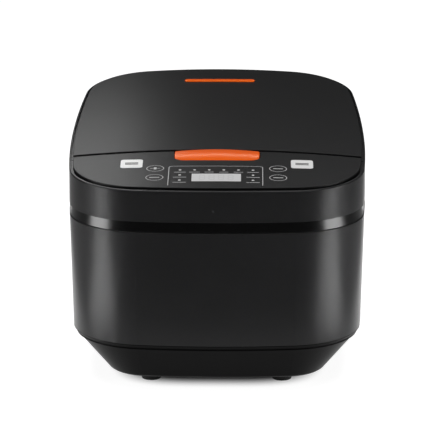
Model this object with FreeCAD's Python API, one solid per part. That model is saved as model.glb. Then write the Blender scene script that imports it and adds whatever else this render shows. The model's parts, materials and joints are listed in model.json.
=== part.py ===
import FreeCAD, Part
import math
import os

# Rice cooker with a hinged lid, in millimetres: X is its width, the front faces -Y and +Z is up.
# The origin is the centre of the plan outline, on the table that the feet stand on.

# Plan outline, with the front reach measured from the widest section
WIDTH = 276.0
FRONT_REACH = 146.0
FRONT_BOW_R = 600.0
REAR_BOW_R = 546.0
FRONT_CORNER_R = 72.0
REAR_CORNER_R = 69.0
FRONT_SIDE_TAPER = 2.5
REAR_SIDE_TAPER = 6.6

# Heights of the stacked outside pieces, and the crowned sloping top above the origin
FOOT_HEIGHT = 7.0
BASE_HEIGHT = 42.0
BODY_HEIGHT = 107.0
BAND_HEIGHT = 10.0
RING_HEIGHT = 10.0
LID_HEIGHT = 35.9
TOP_SLOPE_DEG = 4.88
CROWN_RISE = 2.9

# Clearances and the overshoot of a cut
STACK_GAP = 0.4
FIT_GAP = 0.1
RUN_GAP = 0.3
PIN_GAP = 0.05
OVER = 1.0

# Body shell, base cover and trim band
WALL = 2.5
BODY_DRAFT = 2.8
BASE_TOP_INSET = 2.4
BASE_BOTTOM_INSET = 37.0
BASE_EDGE_R = 0.3
BASE_BOTTOM_R = 8.0
LIP_WALL = 2.0
LIP_HEIGHT = 5.0
BAND_INSET = 0.6
BAND_LEAN = 1.7
BAND_WALL = 1.8
BAND_EDGE_R = 0.5
FOOT_R = 9.0
FOOT_TAPER = 1.0
FOOT_FROM_SIDE = 77.5
FOOT_FROM_FRONT = 60.5
FOOT_FROM_REAR = 52.0
FOOT_STEM_R = 3.5
FOOT_BEAD_R = 4.3
FOOT_BEAD_HEIGHT = 1.5
BASE_SLOT_COUNT = 7
BASE_SLOT_LENGTH = 26.0
BASE_SLOT_WIDTH = 3.0
BASE_SLOT_PITCH = 9.0
BASE_SLOT_ROW_X = 24.0

# Support posts and screws between the base cover and the deck
POST_R = 4.5
POST_SPIGOT_R = 2.8
POST_SPIGOT_HEIGHT = 2.0
POST_ANGLES_DEG = (48.0, 135.0)
POST_CLEARANCE = 0.7
SCREW_R = 1.5
SCREW_LENGTH = 12.0
SCREW_HEAD_R = 3.2
SCREW_HEAD_HEIGHT = 2.0
SCREW_RECESS = 14.0
BASE_BOSS_WALL = 2.0

# Rim, groove and panels of the top
RIM_LEAN = 0.7
RIM_DROP = 1.3
RIM_R = 1.3
GROOVE_INSET = 1.8
GROOVE_FRONT_SET = 1.0
PANEL_INSET = 3.8
PANEL_FRONT_SET = 2.6
PANEL_EDGE_R = 0.5
PANEL_SKIN = 2.0
PANEL_SKIRT_DEPTH = 4.0
PANEL_SKIRT_WALL = 2.0
POCKET_SKIN = 2.0
SEAM_FROM_FRONT = 108.4
SEAM_R = 835.0
SEAM_FRAME_GAP = 1.2
SEAM_PANEL_GAP = 4.6
DECK_THICKNESS = 4.4

# Inner pot, inner shell and heating plate, on one upright axis
POT_HINGE_GAP = 11.0
DECK_WEB = 3.4
POT_INNER_R = 98.0
POT_WALL = 1.8
POT_FLANGE_WIDTH = 4.7
POT_CORNER_R = 22.0
POT_SEAT_DROP = 2.1
DECK_HOLE_GAP = 1.7
SHELL_GAP = 3.8
SHELL_WALL = 0.8
SHELL_FLANGE_WIDTH = 2.6
SHELL_CORNER_R = 18.0
SHELL_FLOOR_GAP = 9.7
SHELL_TAB_R = 5.0
SHELL_TAB_ANGLES_DEG = (75.0, 105.0, 255.0, 285.0)
SHELL_SCREW_LENGTH = 3.0
HEATER_R = 80.0
HEATER_HOLE_R = 21.0
HEATER_THICKNESS = 16.0
HEATER_WEB = 8.0
HEATER_RING_INNER_R = 40.0
HEATER_RING_OUTER_R = 72.0
HEATER_EDGE_R = 2.0
HEATER_LEG_COUNT = 3
HEATER_LEG_R = 4.0
HEATER_LEG_PITCH_R = 56.0
HEATER_LEG_HEIGHT = 7.2
TERMINAL_R = 2.0
TERMINAL_HOLE_R = 4.0
TERMINAL_DROP = 5.0
TERMINAL_ANGLES_DEG = (210.0, 330.0)
SIDE_HEATER_WALL = 1.4
SIDE_HEATER_HEIGHT = 35.0
SIDE_HEATER_RISE = 60.0
FUSE_R = 2.4
FUSE_LENGTH = 18.0
FUSE_X = 40.0

# Sprung temperature sensor in the middle of the heating plate
SENSOR_R = 16.0
SENSOR_WALL = 1.5
SENSOR_TOP = 2.0
SENSOR_SKIRT = 10.0
SENSOR_TRAVEL = 3.0
SENSOR_FLANGE_R = 19.0
SENSOR_FLANGE = 1.2
SENSOR_TUBE_WALL = 1.5
SENSOR_SPRING_R = 9.0
SENSOR_SPRING_WIRE_R = 0.6
SENSOR_SPRING_TURNS = 5

# Lid hinge across the back
HINGE_FROM_REAR = 8.0
BARREL_R = 7.4
TROUGH_WALL = 2.2
HINGE_RELIEF = 9.0
HINGE_WEB = 2.5
HINGE_PIN_R = 2.5
HINGE_PIN_HALF = 75.0
LUG_R = 6.9
LUG_INNER_X = 47.0
LUG_WIDTH = 13.0
HINGE_SPRING_HALF = 22.0
HINGE_SPRING_CAVITY_R = 6.0
HINGE_SPRING_R = 4.2
HINGE_SPRING_WIRE_R = 0.7
HINGE_SPRING_TURNS = 12
HINGE_SPRING_LEG = 6.3
HINGE_SPRING_CATCH_LEG = 3.2
HINGE_SPRING_SLOT = 3.0

# Release button in front of the seam
BUTTON_WIDTH = 78.4
BUTTON_DEPTH = 25.0
BUTTON_CORNER_R = 9.0
BUTTON_CROWN_R = 400.0
BUTTON_EDGE_R = 1.2
BUTTON_FRONT_RISE = -1.2
BUTTON_MIDDLE_RISE = 2.2
BUTTON_REAR_RISE = 1.0
BUTTON_TRAVEL = 4.0
BUTTON_WALL = 2.0
BUTTON_POCKET = 3.4
BUTTON_GAP = 0.8
WELL_DEPTH = 10.2
WELL_WALL = 2.0
STEM_R = 4.0
STEM_FROM_FRONT = 4.6
BUTTON_SPRING_X = 26.0
BUTTON_SPRING_R = 4.0
BUTTON_SPRING_WIRE_R = 0.5
BUTTON_SPRING_TURNS = 4

# Latch lever under the button, and the catch on the lid
LATCH_FROM_SEAM = 4.5
LATCH_DROP = 24.0
LATCH_HUB_R = 4.0
LATCH_HALF = 10.0
LATCH_PIN_R = 1.5
LATCH_ARM_HALF = 5.0
LATCH_ARM_RISE = 2.5
LATCH_ARM_THICKNESS = 4.0
LATCH_ARM_LENGTH = 22.0
LATCH_TIP_GAP = 0.4
HOOK_HALF = 9.0
HOOK_THICKNESS = 3.0
HOOK_RISE = 11.0
HOOK_ARM_THICKNESS = 4.0
EAR_WALL = 3.0
EAR_SETBACK = 0.5
LATCH_SPRING_R = 3.2
LATCH_SPRING_WIRE_R = 0.4
LATCH_SPRING_TURNS = 5
LATCH_SPRING_LENGTH = 10.5
CATCH_HALF = 12.0
CATCH_WALL = 1.5
CATCH_LIP = 4.1
CATCH_LIP_HEIGHT = 2.4
CATCH_HOOK_GAP = 0.4
CATCH_RISE = 17.0
CATCH_SLOT_GAP = 0.5
CATCH_SCREW_X = 7.0
CATCH_SCREW_RISE = 13.5

# Controls on the front panel, in rows ahead of the seam
KEY_R = 8.1
KEY_GAP = 0.2
KEY_TRAVEL = 0.8
KEY_FLANGE = 1.2
KEY_FLANGE_HEIGHT = 0.9
KEY_PLUNGER_R = 2.0
KEY_PLUNGER_LENGTH = 3.0
KEY_X = 56.0
KEY_ROWS_FROM_SEAM = (49.5, 73.5)
LIGHT_R = 1.25
LIGHT_PITCH_X = 13.3
LIGHT_TOP_COUNT = 6
LIGHT_ROWS_FROM_SEAM = (54.2, 67.5, 80.9)
DISPLAY_WIDTH = 44.6
DISPLAY_DEPTH = 20.0
DISPLAY_FROM_SEAM = 74.2
DISPLAY_FLANGE = 1.2
DISPLAY_FLANGE_HEIGHT = 0.8
LABEL_WIDTH = 20.2
LABEL_DEPTH = 22.0
LABEL_X = 78.0
LABEL_FROM_SEAM = 36.3
LABEL_CORNER_R = 3.0
LABEL_THICKNESS = 0.3
BOARD_WIDTH = 158.0
BOARD_FROM_FRONT = 14.0
BOARD_FROM_SEAM = 39.5
BOARD_THICKNESS = 1.6
BOARD_DROP = 12.0
BOARD_WINDOW_WIDTH = 138.0
BOARD_WINDOW_MARGIN = 1.0
BOARD_BOSS_R = 3.0
BOARD_BOSS_INSET = 4.0
BOARD_SCREW_R = 1.2
BOARD_SCREW_LENGTH = 4.0
BOARD_SCREW_HEAD_R = 2.4
BOARD_SCREW_HEAD_HEIGHT = 1.6
SWITCH_SIZE = 6.0
SWITCH_HEIGHT = 3.6
SWITCH_BUTTON_R = 1.7

# Power board, its parts and the appliance inlet
POWER_BOARD_WIDTH = 120.0
POWER_BOARD_DEPTH = 63.0
POWER_BOARD_FROM_FRONT = 70.0
POWER_BOARD_THICKNESS = 1.6
STANDOFF_R = 3.5
STANDOFF_HEIGHT = 6.7
STANDOFF_INSET = 6.0
RELAY_SIZE = (20.0, 16.0, 18.0)
RELAY_PLACE = (-38.0, 6.0)
TRANSFORMER_SIZE = (34.0, 28.0, 26.0)
TRANSFORMER_PLACE = (30.0, 2.0)
CAPACITOR_R = 6.0
CAPACITOR_HEIGHT = 16.0
CAPACITOR_PLACE = (-6.0, -8.0)
INLET_FROM_SIDE = 78.0
INLET_RISE = 27.0
INLET_WIDTH = 24.0
INLET_HEIGHT = 16.6
INLET_CAVITY_DEPTH = 16.0
INLET_WALL = 1.8
INLET_BACK = 2.5
INLET_FLANGE = 3.0
INLET_FLANGE_DEPTH = 3.6
INLET_PROUD = 1.5
INLET_CORNER = 4.5
INLET_PAD = 3.0
PIN_WIDTH = 2.0
PIN_HEIGHT = 4.0
PIN_REACH = 10.0
PIN_TAIL = 6.0
PIN_PITCH = 14.0
PIN_EARTH_RISE = 4.0

# Lid liner, inner lid, seal and steam vent
LINER_DROP = 1.0
LINER_THICKNESS = 2.5
DISH_GAP = 1.5
DISH_DEPTH = 6.0
LINER_BOSS_R = 14.0
SEAL_WIDTH = 7.0
SEAL_OUTER_INSET = 0.5
INNER_LID_RISE = 4.0
INNER_LID_THICKNESS = 1.2
STEAM_HOLE_R = 2.0
STEAM_HOLE_COUNT = 6
STEAM_HOLE_PITCH_R = 74.0
KNOB_R = 13.0
KNOB_HEIGHT = 7.0
KNOB_EDGE_R = 2.0
KNOB_STUD_R = 3.0
LID_HEATER_INNER_R = 30.0
LID_HEATER_VENT_GAP = 7.8
LID_HEATER_THICKNESS = 0.6
LID_SENSOR_R = 3.0
LID_SENSOR_X = 22.0
LID_SENSOR_HEAD_R = 4.5
LID_SENSOR_HEAD = 3.0
LID_SCREW_FROM_SIDE = 30.0
LID_SCREW_FROM_SEAM = 32.0
LID_SCREW_FROM_HINGE = 46.0
LID_BOSS_R = 4.0
LID_SCREW_LENGTH = 9.0
VENT_FROM_REAR = 41.2
VENT_LENGTH = 69.2
VENT_WIDTH = 6.6
VENT_RISE = 0.8
VENT_EDGE_R = 0.7
VENT_CAP_WALL = 1.0
VENT_CAP_TOP = 2.0
VENT_TRAY_WALL = 0.8
VENT_TRAY_FLOOR = 1.5
VENT_TRAY_LIFT = 2.5
VENT_SLOT_COUNT = 9
VENT_SLOT_WIDTH = 1.4
VENT_SLOT_DEPTH = 1.2
VENT_SLOT_PITCH = 6.0
CHIMNEY_WALL = 1.8
VENT_SEAL_HEIGHT = 1.5
VENT_PORT_MARGIN = 2.0

# Values worked out from the sizes above
HALF_WIDTH = WIDTH / 2
POT_OUTER_R = POT_INNER_R + POT_WALL
POT_FLANGE_R = POT_OUTER_R + POT_FLANGE_WIDTH
TROUGH_R = BARREL_R + 2 * RUN_GAP
SEAM_TO_POT = SEAM_FRAME_GAP / 2 + WALL + CATCH_WALL + 2 * CATCH_SLOT_GAP + DECK_WEB
POT_TO_HINGE = POT_HINGE_GAP + TROUGH_WALL + TROUGH_R
DEPTH = SEAM_FROM_FRONT + SEAM_TO_POT + 2 * POT_FLANGE_R + POT_TO_HINGE + HINGE_FROM_REAR
REAR_REACH = DEPTH - FRONT_REACH
WIDE_Y = (FRONT_REACH - REAR_REACH) / 2
FRONT_Y = WIDE_Y - FRONT_REACH
REAR_Y = WIDE_Y + REAR_REACH
BASE_Z = FOOT_HEIGHT
FLOOR_Z = BASE_Z + WALL
SCREW_SEAT_Z = BASE_Z + SCREW_RECESS
POST_Z = SCREW_SEAT_Z + WALL
FOOT_X = HALF_WIDTH - FOOT_FROM_SIDE
BASE_SEAM_Z = BASE_Z + BASE_HEIGHT
BAND_Z = BASE_SEAM_Z + BODY_HEIGHT
RING_Z = BAND_Z + BAND_HEIGHT
PARTING_Z = RING_Z + RING_HEIGHT
TOP_Z = PARTING_Z + LID_HEIGHT
SLOPE = math.radians(TOP_SLOPE_DEG)
CROWN_R = (HALF_WIDTH ** 2 + CROWN_RISE ** 2) / (2 * CROWN_RISE)
SEAM_Y = FRONT_Y + SEAM_FROM_FRONT
DECK_TOP_Z = PARTING_Z - STACK_GAP / 2
DECK_UNDER_Z = DECK_TOP_Z - DECK_THICKNESS
POCKET_DROP = PANEL_SKIRT_DEPTH
CAVITY_DROP = POCKET_DROP + POCKET_SKIN
BAND_BACK = BAND_INSET + BAND_LEAN + BAND_WALL + FIT_GAP
NECK_INNER = BAND_BACK + WALL
BASE_LEAN = (BASE_BOTTOM_INSET - BASE_TOP_INSET) / (BASE_HEIGHT - FIT_GAP)
BASE_WALL_ACROSS = WALL * math.hypot(1, BASE_LEAN)

POT_Y = SEAM_Y + SEAM_TO_POT + POT_FLANGE_R
POT_SEAT_Z = DECK_TOP_Z - POT_SEAT_DROP
POT_TOP_Z = POT_SEAT_Z + POT_WALL
SHELL_INNER_R = POT_OUTER_R + SHELL_GAP
SHELL_OUTER_R = SHELL_INNER_R + SHELL_WALL
SHELL_FLANGE_R = SHELL_OUTER_R + SHELL_FLANGE_WIDTH
SHELL_TAB_PITCH_R = SHELL_FLANGE_R + SHELL_TAB_R
SHELL_Z = FLOOR_Z + SHELL_FLOOR_GAP
HEATER_Z = SHELL_Z + SHELL_WALL + HEATER_LEG_HEIGHT
POT_Z = HEATER_Z + HEATER_THICKNESS
SIDE_HEATER_R = SHELL_OUTER_R + SIDE_HEATER_WALL
POST_PITCH_R = max(SIDE_HEATER_R, SHELL_FLANGE_R) + POST_CLEARANCE + POST_R

HINGE_Y = REAR_Y - HINGE_FROM_REAR
HINGE_Z = PARTING_Z
LUG_OUTER_X = LUG_INNER_X + LUG_WIDTH

BUTTON_REAR_Y = SEAM_Y - SEAM_PANEL_GAP / 2
BUTTON_FRONT_Y = BUTTON_REAR_Y - BUTTON_DEPTH
WELL_FLOOR_Z = TOP_Z + BUTTON_FRONT_Y * math.tan(SLOPE) - WELL_DEPTH
BUTTON_Z = WELL_FLOOR_Z + BUTTON_TRAVEL + BUTTON_GAP
STEM_Y = BUTTON_FRONT_Y + STEM_FROM_FRONT
LATCH_Y = SEAM_Y - LATCH_FROM_SEAM
LATCH_Z = PARTING_Z - LATCH_DROP
STEM_TIP_Z = LATCH_Z + LATCH_ARM_RISE + LATCH_TIP_GAP
ARM_UNDER_Z = LATCH_Z + LATCH_ARM_RISE - LATCH_ARM_THICKNESS
BRIDGE_Z = ARM_UNDER_Z - LATCH_SPRING_LENGTH
EAR_X = LATCH_HALF + RUN_GAP
SEAM_WALL_Y = SEAM_Y - SEAM_FRAME_GAP / 2
LID_WALL_Y = SEAM_Y + SEAM_FRAME_GAP / 2 + WALL
CATCH_REAR_Y = LID_WALL_Y + CATCH_WALL
HOOK_Z = LATCH_Z + HOOK_RISE
CATCH_LIP_TOP_Z = HOOK_Z - CATCH_HOOK_GAP
CATCH_SCREW_Z = PARTING_Z + CATCH_SCREW_RISE

BOARD_DEPTH = SEAM_FROM_FRONT - BOARD_FROM_FRONT - BOARD_FROM_SEAM
BOARD_Y = FRONT_Y + BOARD_FROM_FRONT + BOARD_DEPTH / 2
DISPLAY_Y = SEAM_Y - DISPLAY_FROM_SEAM
KEY_SWITCH_DROP = BOARD_DROP - SWITCH_HEIGHT
KEY_FLANGE_DROP = PANEL_SKIN + RUN_GAP
KEY_BOTTOM_DROP = KEY_FLANGE_DROP + KEY_FLANGE_HEIGHT + KEY_PLUNGER_LENGTH
SWITCH_TOP_DROP = KEY_BOTTOM_DROP + KEY_TRAVEL + FIT_GAP

POWER_BOARD_Y = FRONT_Y + POWER_BOARD_FROM_FRONT
POWER_BOARD_Z = FLOOR_Z + STANDOFF_HEIGHT
PARTS_Z = POWER_BOARD_Z + POWER_BOARD_THICKNESS
INLET_X = INLET_FROM_SIDE - HALF_WIDTH
INLET_Z = BASE_SEAM_Z + INLET_RISE

LID_Z = PARTING_Z + STACK_GAP / 2
LINER_Z = PARTING_Z + LINER_DROP
DISH_R = POT_FLANGE_R + DISH_GAP
DISH_ROOF_Z = LINER_Z + DISH_DEPTH
DISH_TOP_Z = DISH_ROOF_Z + LINER_THICKNESS
INNER_LID_Z = PARTING_Z + INNER_LID_RISE
INNER_LID_TOP_Z = INNER_LID_Z + INNER_LID_THICKNESS
SEAL_OUTER_R = POT_FLANGE_R - SEAL_OUTER_INSET
SEAL_Z = POT_TOP_Z + RUN_GAP
HINGE_BLOCK_Y = HINGE_Y - BARREL_R - HINGE_WEB
VENT_Y = REAR_Y - VENT_FROM_REAR
VENT_PASSAGE_INSET = VENT_CAP_WALL + FIT_GAP
CHIMNEY_Z = DISH_TOP_Z + VENT_SEAL_HEIGHT
CHIMNEY_HALF = VENT_WIDTH / 2 - VENT_PASSAGE_INSET + RUN_GAP + CHIMNEY_WALL
LID_HEATER_OUTER_R = VENT_Y - POT_Y - CHIMNEY_HALF - LID_HEATER_VENT_GAP
LID_SCREW_X = HALF_WIDTH - LID_SCREW_FROM_SIDE
LID_SCREW_FRONT_Y = SEAM_Y + LID_SCREW_FROM_SEAM
LID_SCREW_REAR_Y = HINGE_Y - LID_SCREW_FROM_HINGE

UP = FreeCAD.Vector(0, 0, 1)
ALONG_X = FreeCAD.Vector(1, 0, 0)
ALONG_Y = FreeCAD.Vector(0, 1, 0)
SIDES = (-1, 1)


def box(x_range, y_range, z_range):
    """Block between two limits along each axis."""
    lows = FreeCAD.Vector(x_range[0], y_range[0], z_range[0])
    return Part.makeBox(x_range[1] - x_range[0], y_range[1] - y_range[0], z_range[1] - z_range[0], lows)


def upright(x, y, radius, z_low, z_high):
    """Upright cylinder."""
    return Part.makeCylinder(radius, z_high - z_low, FreeCAD.Vector(x, y, z_low), UP)


def across(y, z, radius, x_low, x_high):
    """Cylinder along the width."""
    return Part.makeCylinder(radius, x_high - x_low, FreeCAD.Vector(x_low, y, z), ALONG_X)


def fused(pieces):
    """One solid from pieces that meet."""
    pieces = list(pieces)
    return pieces[0].multiFuse(pieces[1:]).removeSplitter()


def group(pieces):
    """Separate solids that share a node."""
    return Part.makeCompound(list(pieces))


def polar(radius, angle_deg):
    """Plan point at a bearing about the pot axis, with 0 degrees towards the back."""
    angle = math.radians(angle_deg)
    return radius * math.sin(angle), POT_Y + radius * math.cos(angle)


def profile_edges(corners, place):
    """Closed profile of straight lines whose corners (a, b) or (a, b, radius) may be rounded."""
    count = len(corners)
    starts, ends, middles = [], [], []
    for index in range(count):
        point = FreeCAD.Vector(corners[index][0], corners[index][1], 0)
        radius = corners[index][2] if len(corners[index]) > 2 else 0
        before = FreeCAD.Vector(*corners[index - 1][:2], 0) - point
        after = FreeCAD.Vector(*corners[(index + 1) % count][:2], 0) - point
        before.normalize()
        after.normalize()
        half = before.getAngle(after) / 2
        bisector = before + after
        if radius:
            bisector.normalize()
        run = radius / math.tan(half)
        starts.append(point + before * run)
        ends.append(point + after * run)
        middles.append(point + bisector * (radius / math.sin(half) - radius))
    edges = []
    for index in range(count):
        start, middle, end = (place(p.x, p.y) for p in (starts[index], middles[index], ends[index]))
        if start.distanceToPoint(end) > OVER / 1000:
            edges.append(Part.Arc(start, middle, end).toShape())
        following = place(starts[(index + 1) % count].x, starts[(index + 1) % count].y)
        if end.distanceToPoint(following) > OVER / 1000:
            edges.append(Part.makeLine(end, following))
    return edges


def turned(corners, x=0.0, y=POT_Y):
    """Solid turned about an upright axis from a profile of (radius, height) corners."""
    edges = profile_edges(corners, lambda r, z: FreeCAD.Vector(x + r, y, z))
    return Part.Face(Part.Wire(edges)).revolve(FreeCAD.Vector(x, y, 0), UP, 360)


def plan_quarter(reach, bow_r, corner_r, taper):
    """Corner centre, side radius and the two joining angles of a quarter of the outline."""
    corner_x = HALF_WIDTH - corner_r - taper
    bow_y = reach - bow_r
    corner_y = bow_y + math.sqrt((bow_r - corner_r) ** 2 - corner_x ** 2)
    side_r = ((corner_r + taper) ** 2 + corner_y ** 2 - corner_r ** 2) / (2 * taper)
    bow_angle = math.atan2(corner_x, corner_y - bow_y)
    side_angle = math.atan2(corner_x - HALF_WIDTH + side_r, corner_y)
    return corner_x, corner_y, side_r, bow_angle, side_angle


def plan_arcs(front_set):
    """Arcs (x, y, radius, start, end) of the outline, anticlockwise, with its front set back."""
    arcs = []
    for facing, reach, bow_r, corner_r, taper in (
        (1, REAR_REACH, REAR_BOW_R, REAR_CORNER_R, REAR_SIDE_TAPER),
        (-1, FRONT_REACH - front_set, FRONT_BOW_R, FRONT_CORNER_R, FRONT_SIDE_TAPER),
    ):
        corner_x, corner_y, side_r, bow, side = plan_quarter(reach, bow_r, corner_r, taper)
        side_x = HALF_WIDTH - side_r
        y_corner = WIDE_Y + facing * corner_y
        y_bow = WIDE_Y + facing * (reach - bow_r)
        middle = math.pi / 2 if facing > 0 else 3 * math.pi / 2
        quarter = math.pi / 2
        arcs += [
            (facing * side_x, WIDE_Y, side_r, middle - quarter, middle - side),
            (facing * corner_x, y_corner, corner_r, middle - side, middle - bow),
            (0, y_bow, bow_r, middle - bow, middle + bow),
            (-facing * corner_x, y_corner, corner_r, middle + bow, middle + side),
            (-facing * side_x, WIDE_Y, side_r, middle + side, middle + quarter),
        ]
    return arcs


PLAN_ARCS = plan_arcs(0)
GROOVE_ARCS = plan_arcs(GROOVE_FRONT_SET)
PANEL_ARCS = plan_arcs(PANEL_FRONT_SET)


def outline(inset, z, arcs=PLAN_ARCS):
    """Outline wire at a height, offset inwards."""
    edges = []
    for x, y, radius, start, end in arcs:
        circle = Part.Circle(FreeCAD.Vector(x, y, z), UP, radius - inset)
        edges.append(Part.ArcOfCircle(circle, start, end).toShape())
    return Part.Wire(edges)


def slab(inset, z_low, z_high, arcs=PLAN_ARCS):
    """Upright prism of the outline."""
    return Part.Face(outline(inset, z_low, arcs)).extrude(UP * (z_high - z_low))


def ring(corners):
    """Ring round the outline from a profile of (inset, height) corners."""
    wedges = []
    for x, y, radius, start, end in PLAN_ARCS:
        outward = FreeCAD.Vector(math.cos(start), math.sin(start), 0)
        axis = FreeCAD.Vector(x, y, 0)
        edges = profile_edges(corners, lambda inset, z: axis + outward * (radius - inset) + UP * z)
        wedges.append(Part.Face(Part.Wire(edges)).revolve(axis, UP, math.degrees(end - start)))
    return fused(wedges)


def under_top(drop):
    """Space below the crowned, sloping top, lowered by a drop along its normal."""
    along = FreeCAD.Vector(0, math.cos(SLOPE), math.sin(SLOPE))
    normal = FreeCAD.Vector(0, -math.sin(SLOPE), math.cos(SLOPE))
    centre = UP * TOP_Z - normal * CROWN_R - along * DEPTH
    radius = CROWN_R - drop
    half = math.asin(WIDTH / radius)

    def crown(angle):
        return centre + ALONG_X * (radius * math.sin(angle)) + normal * (radius * math.cos(angle))

    left, right = crown(-half), crown(half)
    deep = normal * -TOP_Z
    edges = [
        Part.Arc(left, crown(0), right).toShape(),
        Part.makeLine(right, right + deep),
        Part.makeLine(right + deep, left + deep),
        Part.makeLine(left + deep, left),
    ]
    return Part.Face(Part.Wire(edges)).extrude(along * (2 * DEPTH))


def front_of_seam(offset):
    """Space in front of the bowed seam, moved towards the back by an offset."""
    radius = SEAM_R + offset
    half = math.asin(WIDTH / radius)
    centre_y = SEAM_Y - SEAM_R

    def on_seam(angle):
        return FreeCAD.Vector(radius * math.sin(angle), centre_y + radius * math.cos(angle), 0)

    left, right = on_seam(-half), on_seam(half)
    ahead = ALONG_Y * -DEPTH
    edges = [
        Part.Arc(left, on_seam(0), right).toShape(),
        Part.makeLine(right, right + ahead),
        Part.makeLine(right + ahead, left + ahead),
        Part.makeLine(left + ahead, left),
    ]
    return Part.Face(Part.Wire(edges)).extrude(UP * (2 * TOP_Z))


def tilted(shape):
    """Piece made on a flat top at height 0, laid on the sloping top."""
    shape.rotate(FreeCAD.Vector(), ALONG_X, TOP_SLOPE_DEG)
    shape.translate(UP * TOP_Z)
    return shape


def along_top(y):
    """Distance along the sloping top for a plan position."""
    return y / math.cos(SLOPE)


def top_round(x, y, radius, drop_low, drop_high):
    """Round piece square to the top, between two drops below it."""
    return tilted(upright(x, along_top(y), radius, -drop_low, -drop_high))


def top_block(x, y, width, depth, drop_low, drop_high):
    """Square piece laid on the top, between two drops below it."""
    v = along_top(y)
    limits = (x - width / 2, x + width / 2), (v - depth / 2, v + depth / 2), (-drop_low, -drop_high)
    return tilted(box(*limits))


def stadium(length, width, z_low, z_high, y):
    """Upright prism with round ends along the width."""
    half = (length - width) / 2
    middle = box((-half, half), (y - width / 2, y + width / 2), (z_low, z_high))
    ends = [upright(side * half, y, width / 2, z_low, z_high) for side in SIDES]
    return fused([middle] + ends)


def coil(radius, wire_r, turns, length):
    """Coil of round wire along Z from the origin, in tilted half rings that meet end to end."""
    rise = length / (2 * turns)
    half_rings = []
    for index in range(2 * turns):
        side = 1 if index % 2 == 0 else -1
        start = FreeCAD.Vector(side * radius, 0, index * rise)
        end = FreeCAD.Vector(-side * radius, 0, (index + 1) * rise)
        section = Part.Face(Part.Wire(Part.makeCircle(wire_r, start, ALONG_Y)))
        half_rings.append(section.revolve((start + end) / 2, (start - end).cross(ALONG_Y * side), 180))
    return fused(half_rings)


def compression_spring(x, y, z_low, z_high, radius, wire_r, turns):
    """Upright spring that touches a seat at each end."""
    spring = coil(radius, wire_r, turns, z_high - z_low - 2 * (wire_r + PIN_GAP))
    spring.translate(FreeCAD.Vector(x, y, z_low + wire_r + PIN_GAP))
    return spring


def screw_up(x, y, z, radius, length, head_r, head_height):
    """Screw driven upwards, with its head under the height z."""
    return fused([upright(x, y, radius, z, z + length), upright(x, y, head_r, z - head_height, z)])


def post_places():
    """Plan places of the support posts round the pot."""
    return [polar(POST_PITCH_R, side * angle) for angle in POST_ANGLES_DEG for side in SIDES]


def foot_places():
    """Plan places of the feet."""
    rows = (FRONT_Y + FOOT_FROM_FRONT, REAR_Y - FOOT_FROM_REAR)
    return [(side * FOOT_X, y) for y in rows for side in SIDES]


def corner_places(y, width, depth, inset):
    """Four places set in from the corners of a board that is centred on the width."""
    return [
        (side * (width / 2 - inset), y + end * (depth / 2 - inset))
        for side in SIDES
        for end in SIDES
    ]


def base_cover():
    """Sloping tray with a lip inside the body shell, cooling slots, standoffs and screw bosses."""
    top_z = BASE_SEAM_Z - FIT_GAP
    inner = BASE_BOTTOM_INSET + BASE_WALL_ACROSS - WALL * BASE_LEAN
    flat = inner + BASE_BOTTOM_R
    wall = ring([
        (BASE_TOP_INSET, top_z, BASE_EDGE_R),
        (BASE_BOTTOM_INSET, BASE_Z, BASE_BOTTOM_R),
        (flat, BASE_Z),
        (flat, FLOOR_Z),
        (inner, FLOOR_Z),
        (BASE_TOP_INSET + BASE_WALL_ACROSS, top_z),
    ])
    lip_inset = BODY_DRAFT + WALL + FIT_GAP
    lip = ring([
        (lip_inset, BASE_SEAM_Z + LIP_HEIGHT),
        (lip_inset, top_z - LIP_HEIGHT),
        (lip_inset + LIP_WALL, top_z - LIP_HEIGHT),
        (lip_inset + LIP_WALL, BASE_SEAM_Z + LIP_HEIGHT),
    ])
    floor = slab(flat - OVER, BASE_Z, FLOOR_Z)
    standoffs = [
        upright(x, y, STANDOFF_R, BASE_Z, POWER_BOARD_Z)
        for x, y in corner_places(POWER_BOARD_Y, POWER_BOARD_WIDTH, POWER_BOARD_DEPTH, STANDOFF_INSET)
    ]
    sections = [outline(BASE_BOTTOM_INSET, BASE_Z), outline(BASE_TOP_INSET, top_z)]
    envelope = Part.makeLoft(sections, True, True)
    recess_r = SCREW_HEAD_R + RUN_GAP
    bosses = [
        upright(x, y, recess_r + BASE_BOSS_WALL, FLOOR_Z, POST_Z).common(envelope) for x, y in post_places()
    ]
    tray = fused([wall, lip, floor] + standoffs + bosses)
    below, above = BASE_Z - OVER, FLOOR_Z + OVER
    cuts = [upright(x, y, FOOT_STEM_R + FIT_GAP, below, above) for x, y in foot_places()]
    cuts += [upright(x, y, recess_r, below, SCREW_SEAT_Z) for x, y in post_places()]
    cuts += [upright(x, y, SCREW_R + RUN_GAP, SCREW_SEAT_Z, POST_Z + OVER) for x, y in post_places()]
    for index in range(BASE_SLOT_COUNT):
        y = POT_Y + (index - (BASE_SLOT_COUNT - 1) / 2) * BASE_SLOT_PITCH
        for side in SIDES:
            x = side * BASE_SLOT_ROW_X
            x_range = (x - BASE_SLOT_LENGTH / 2, x + BASE_SLOT_LENGTH / 2)
            cuts.append(box(x_range, (y - BASE_SLOT_WIDTH / 2, y + BASE_SLOT_WIDTH / 2), (below, above)))
    return tray.cut(cuts)


def rubber_feet():
    """Four tapered feet with a stem and a bead that snaps above the base floor."""
    bead_z = FLOOR_Z + FIT_GAP
    corners = [
        (0, 0),
        (FOOT_R, 0, FOOT_TAPER),
        (FOOT_R + FOOT_TAPER, BASE_Z),
        (FOOT_STEM_R, BASE_Z),
        (FOOT_STEM_R, bead_z),
        (FOOT_BEAD_R, bead_z),
        (FOOT_STEM_R, bead_z + FOOT_BEAD_HEIGHT),
        (0, bead_z + FOOT_BEAD_HEIGHT),
    ]
    return group(turned(corners, x, y) for x, y in foot_places())


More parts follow.
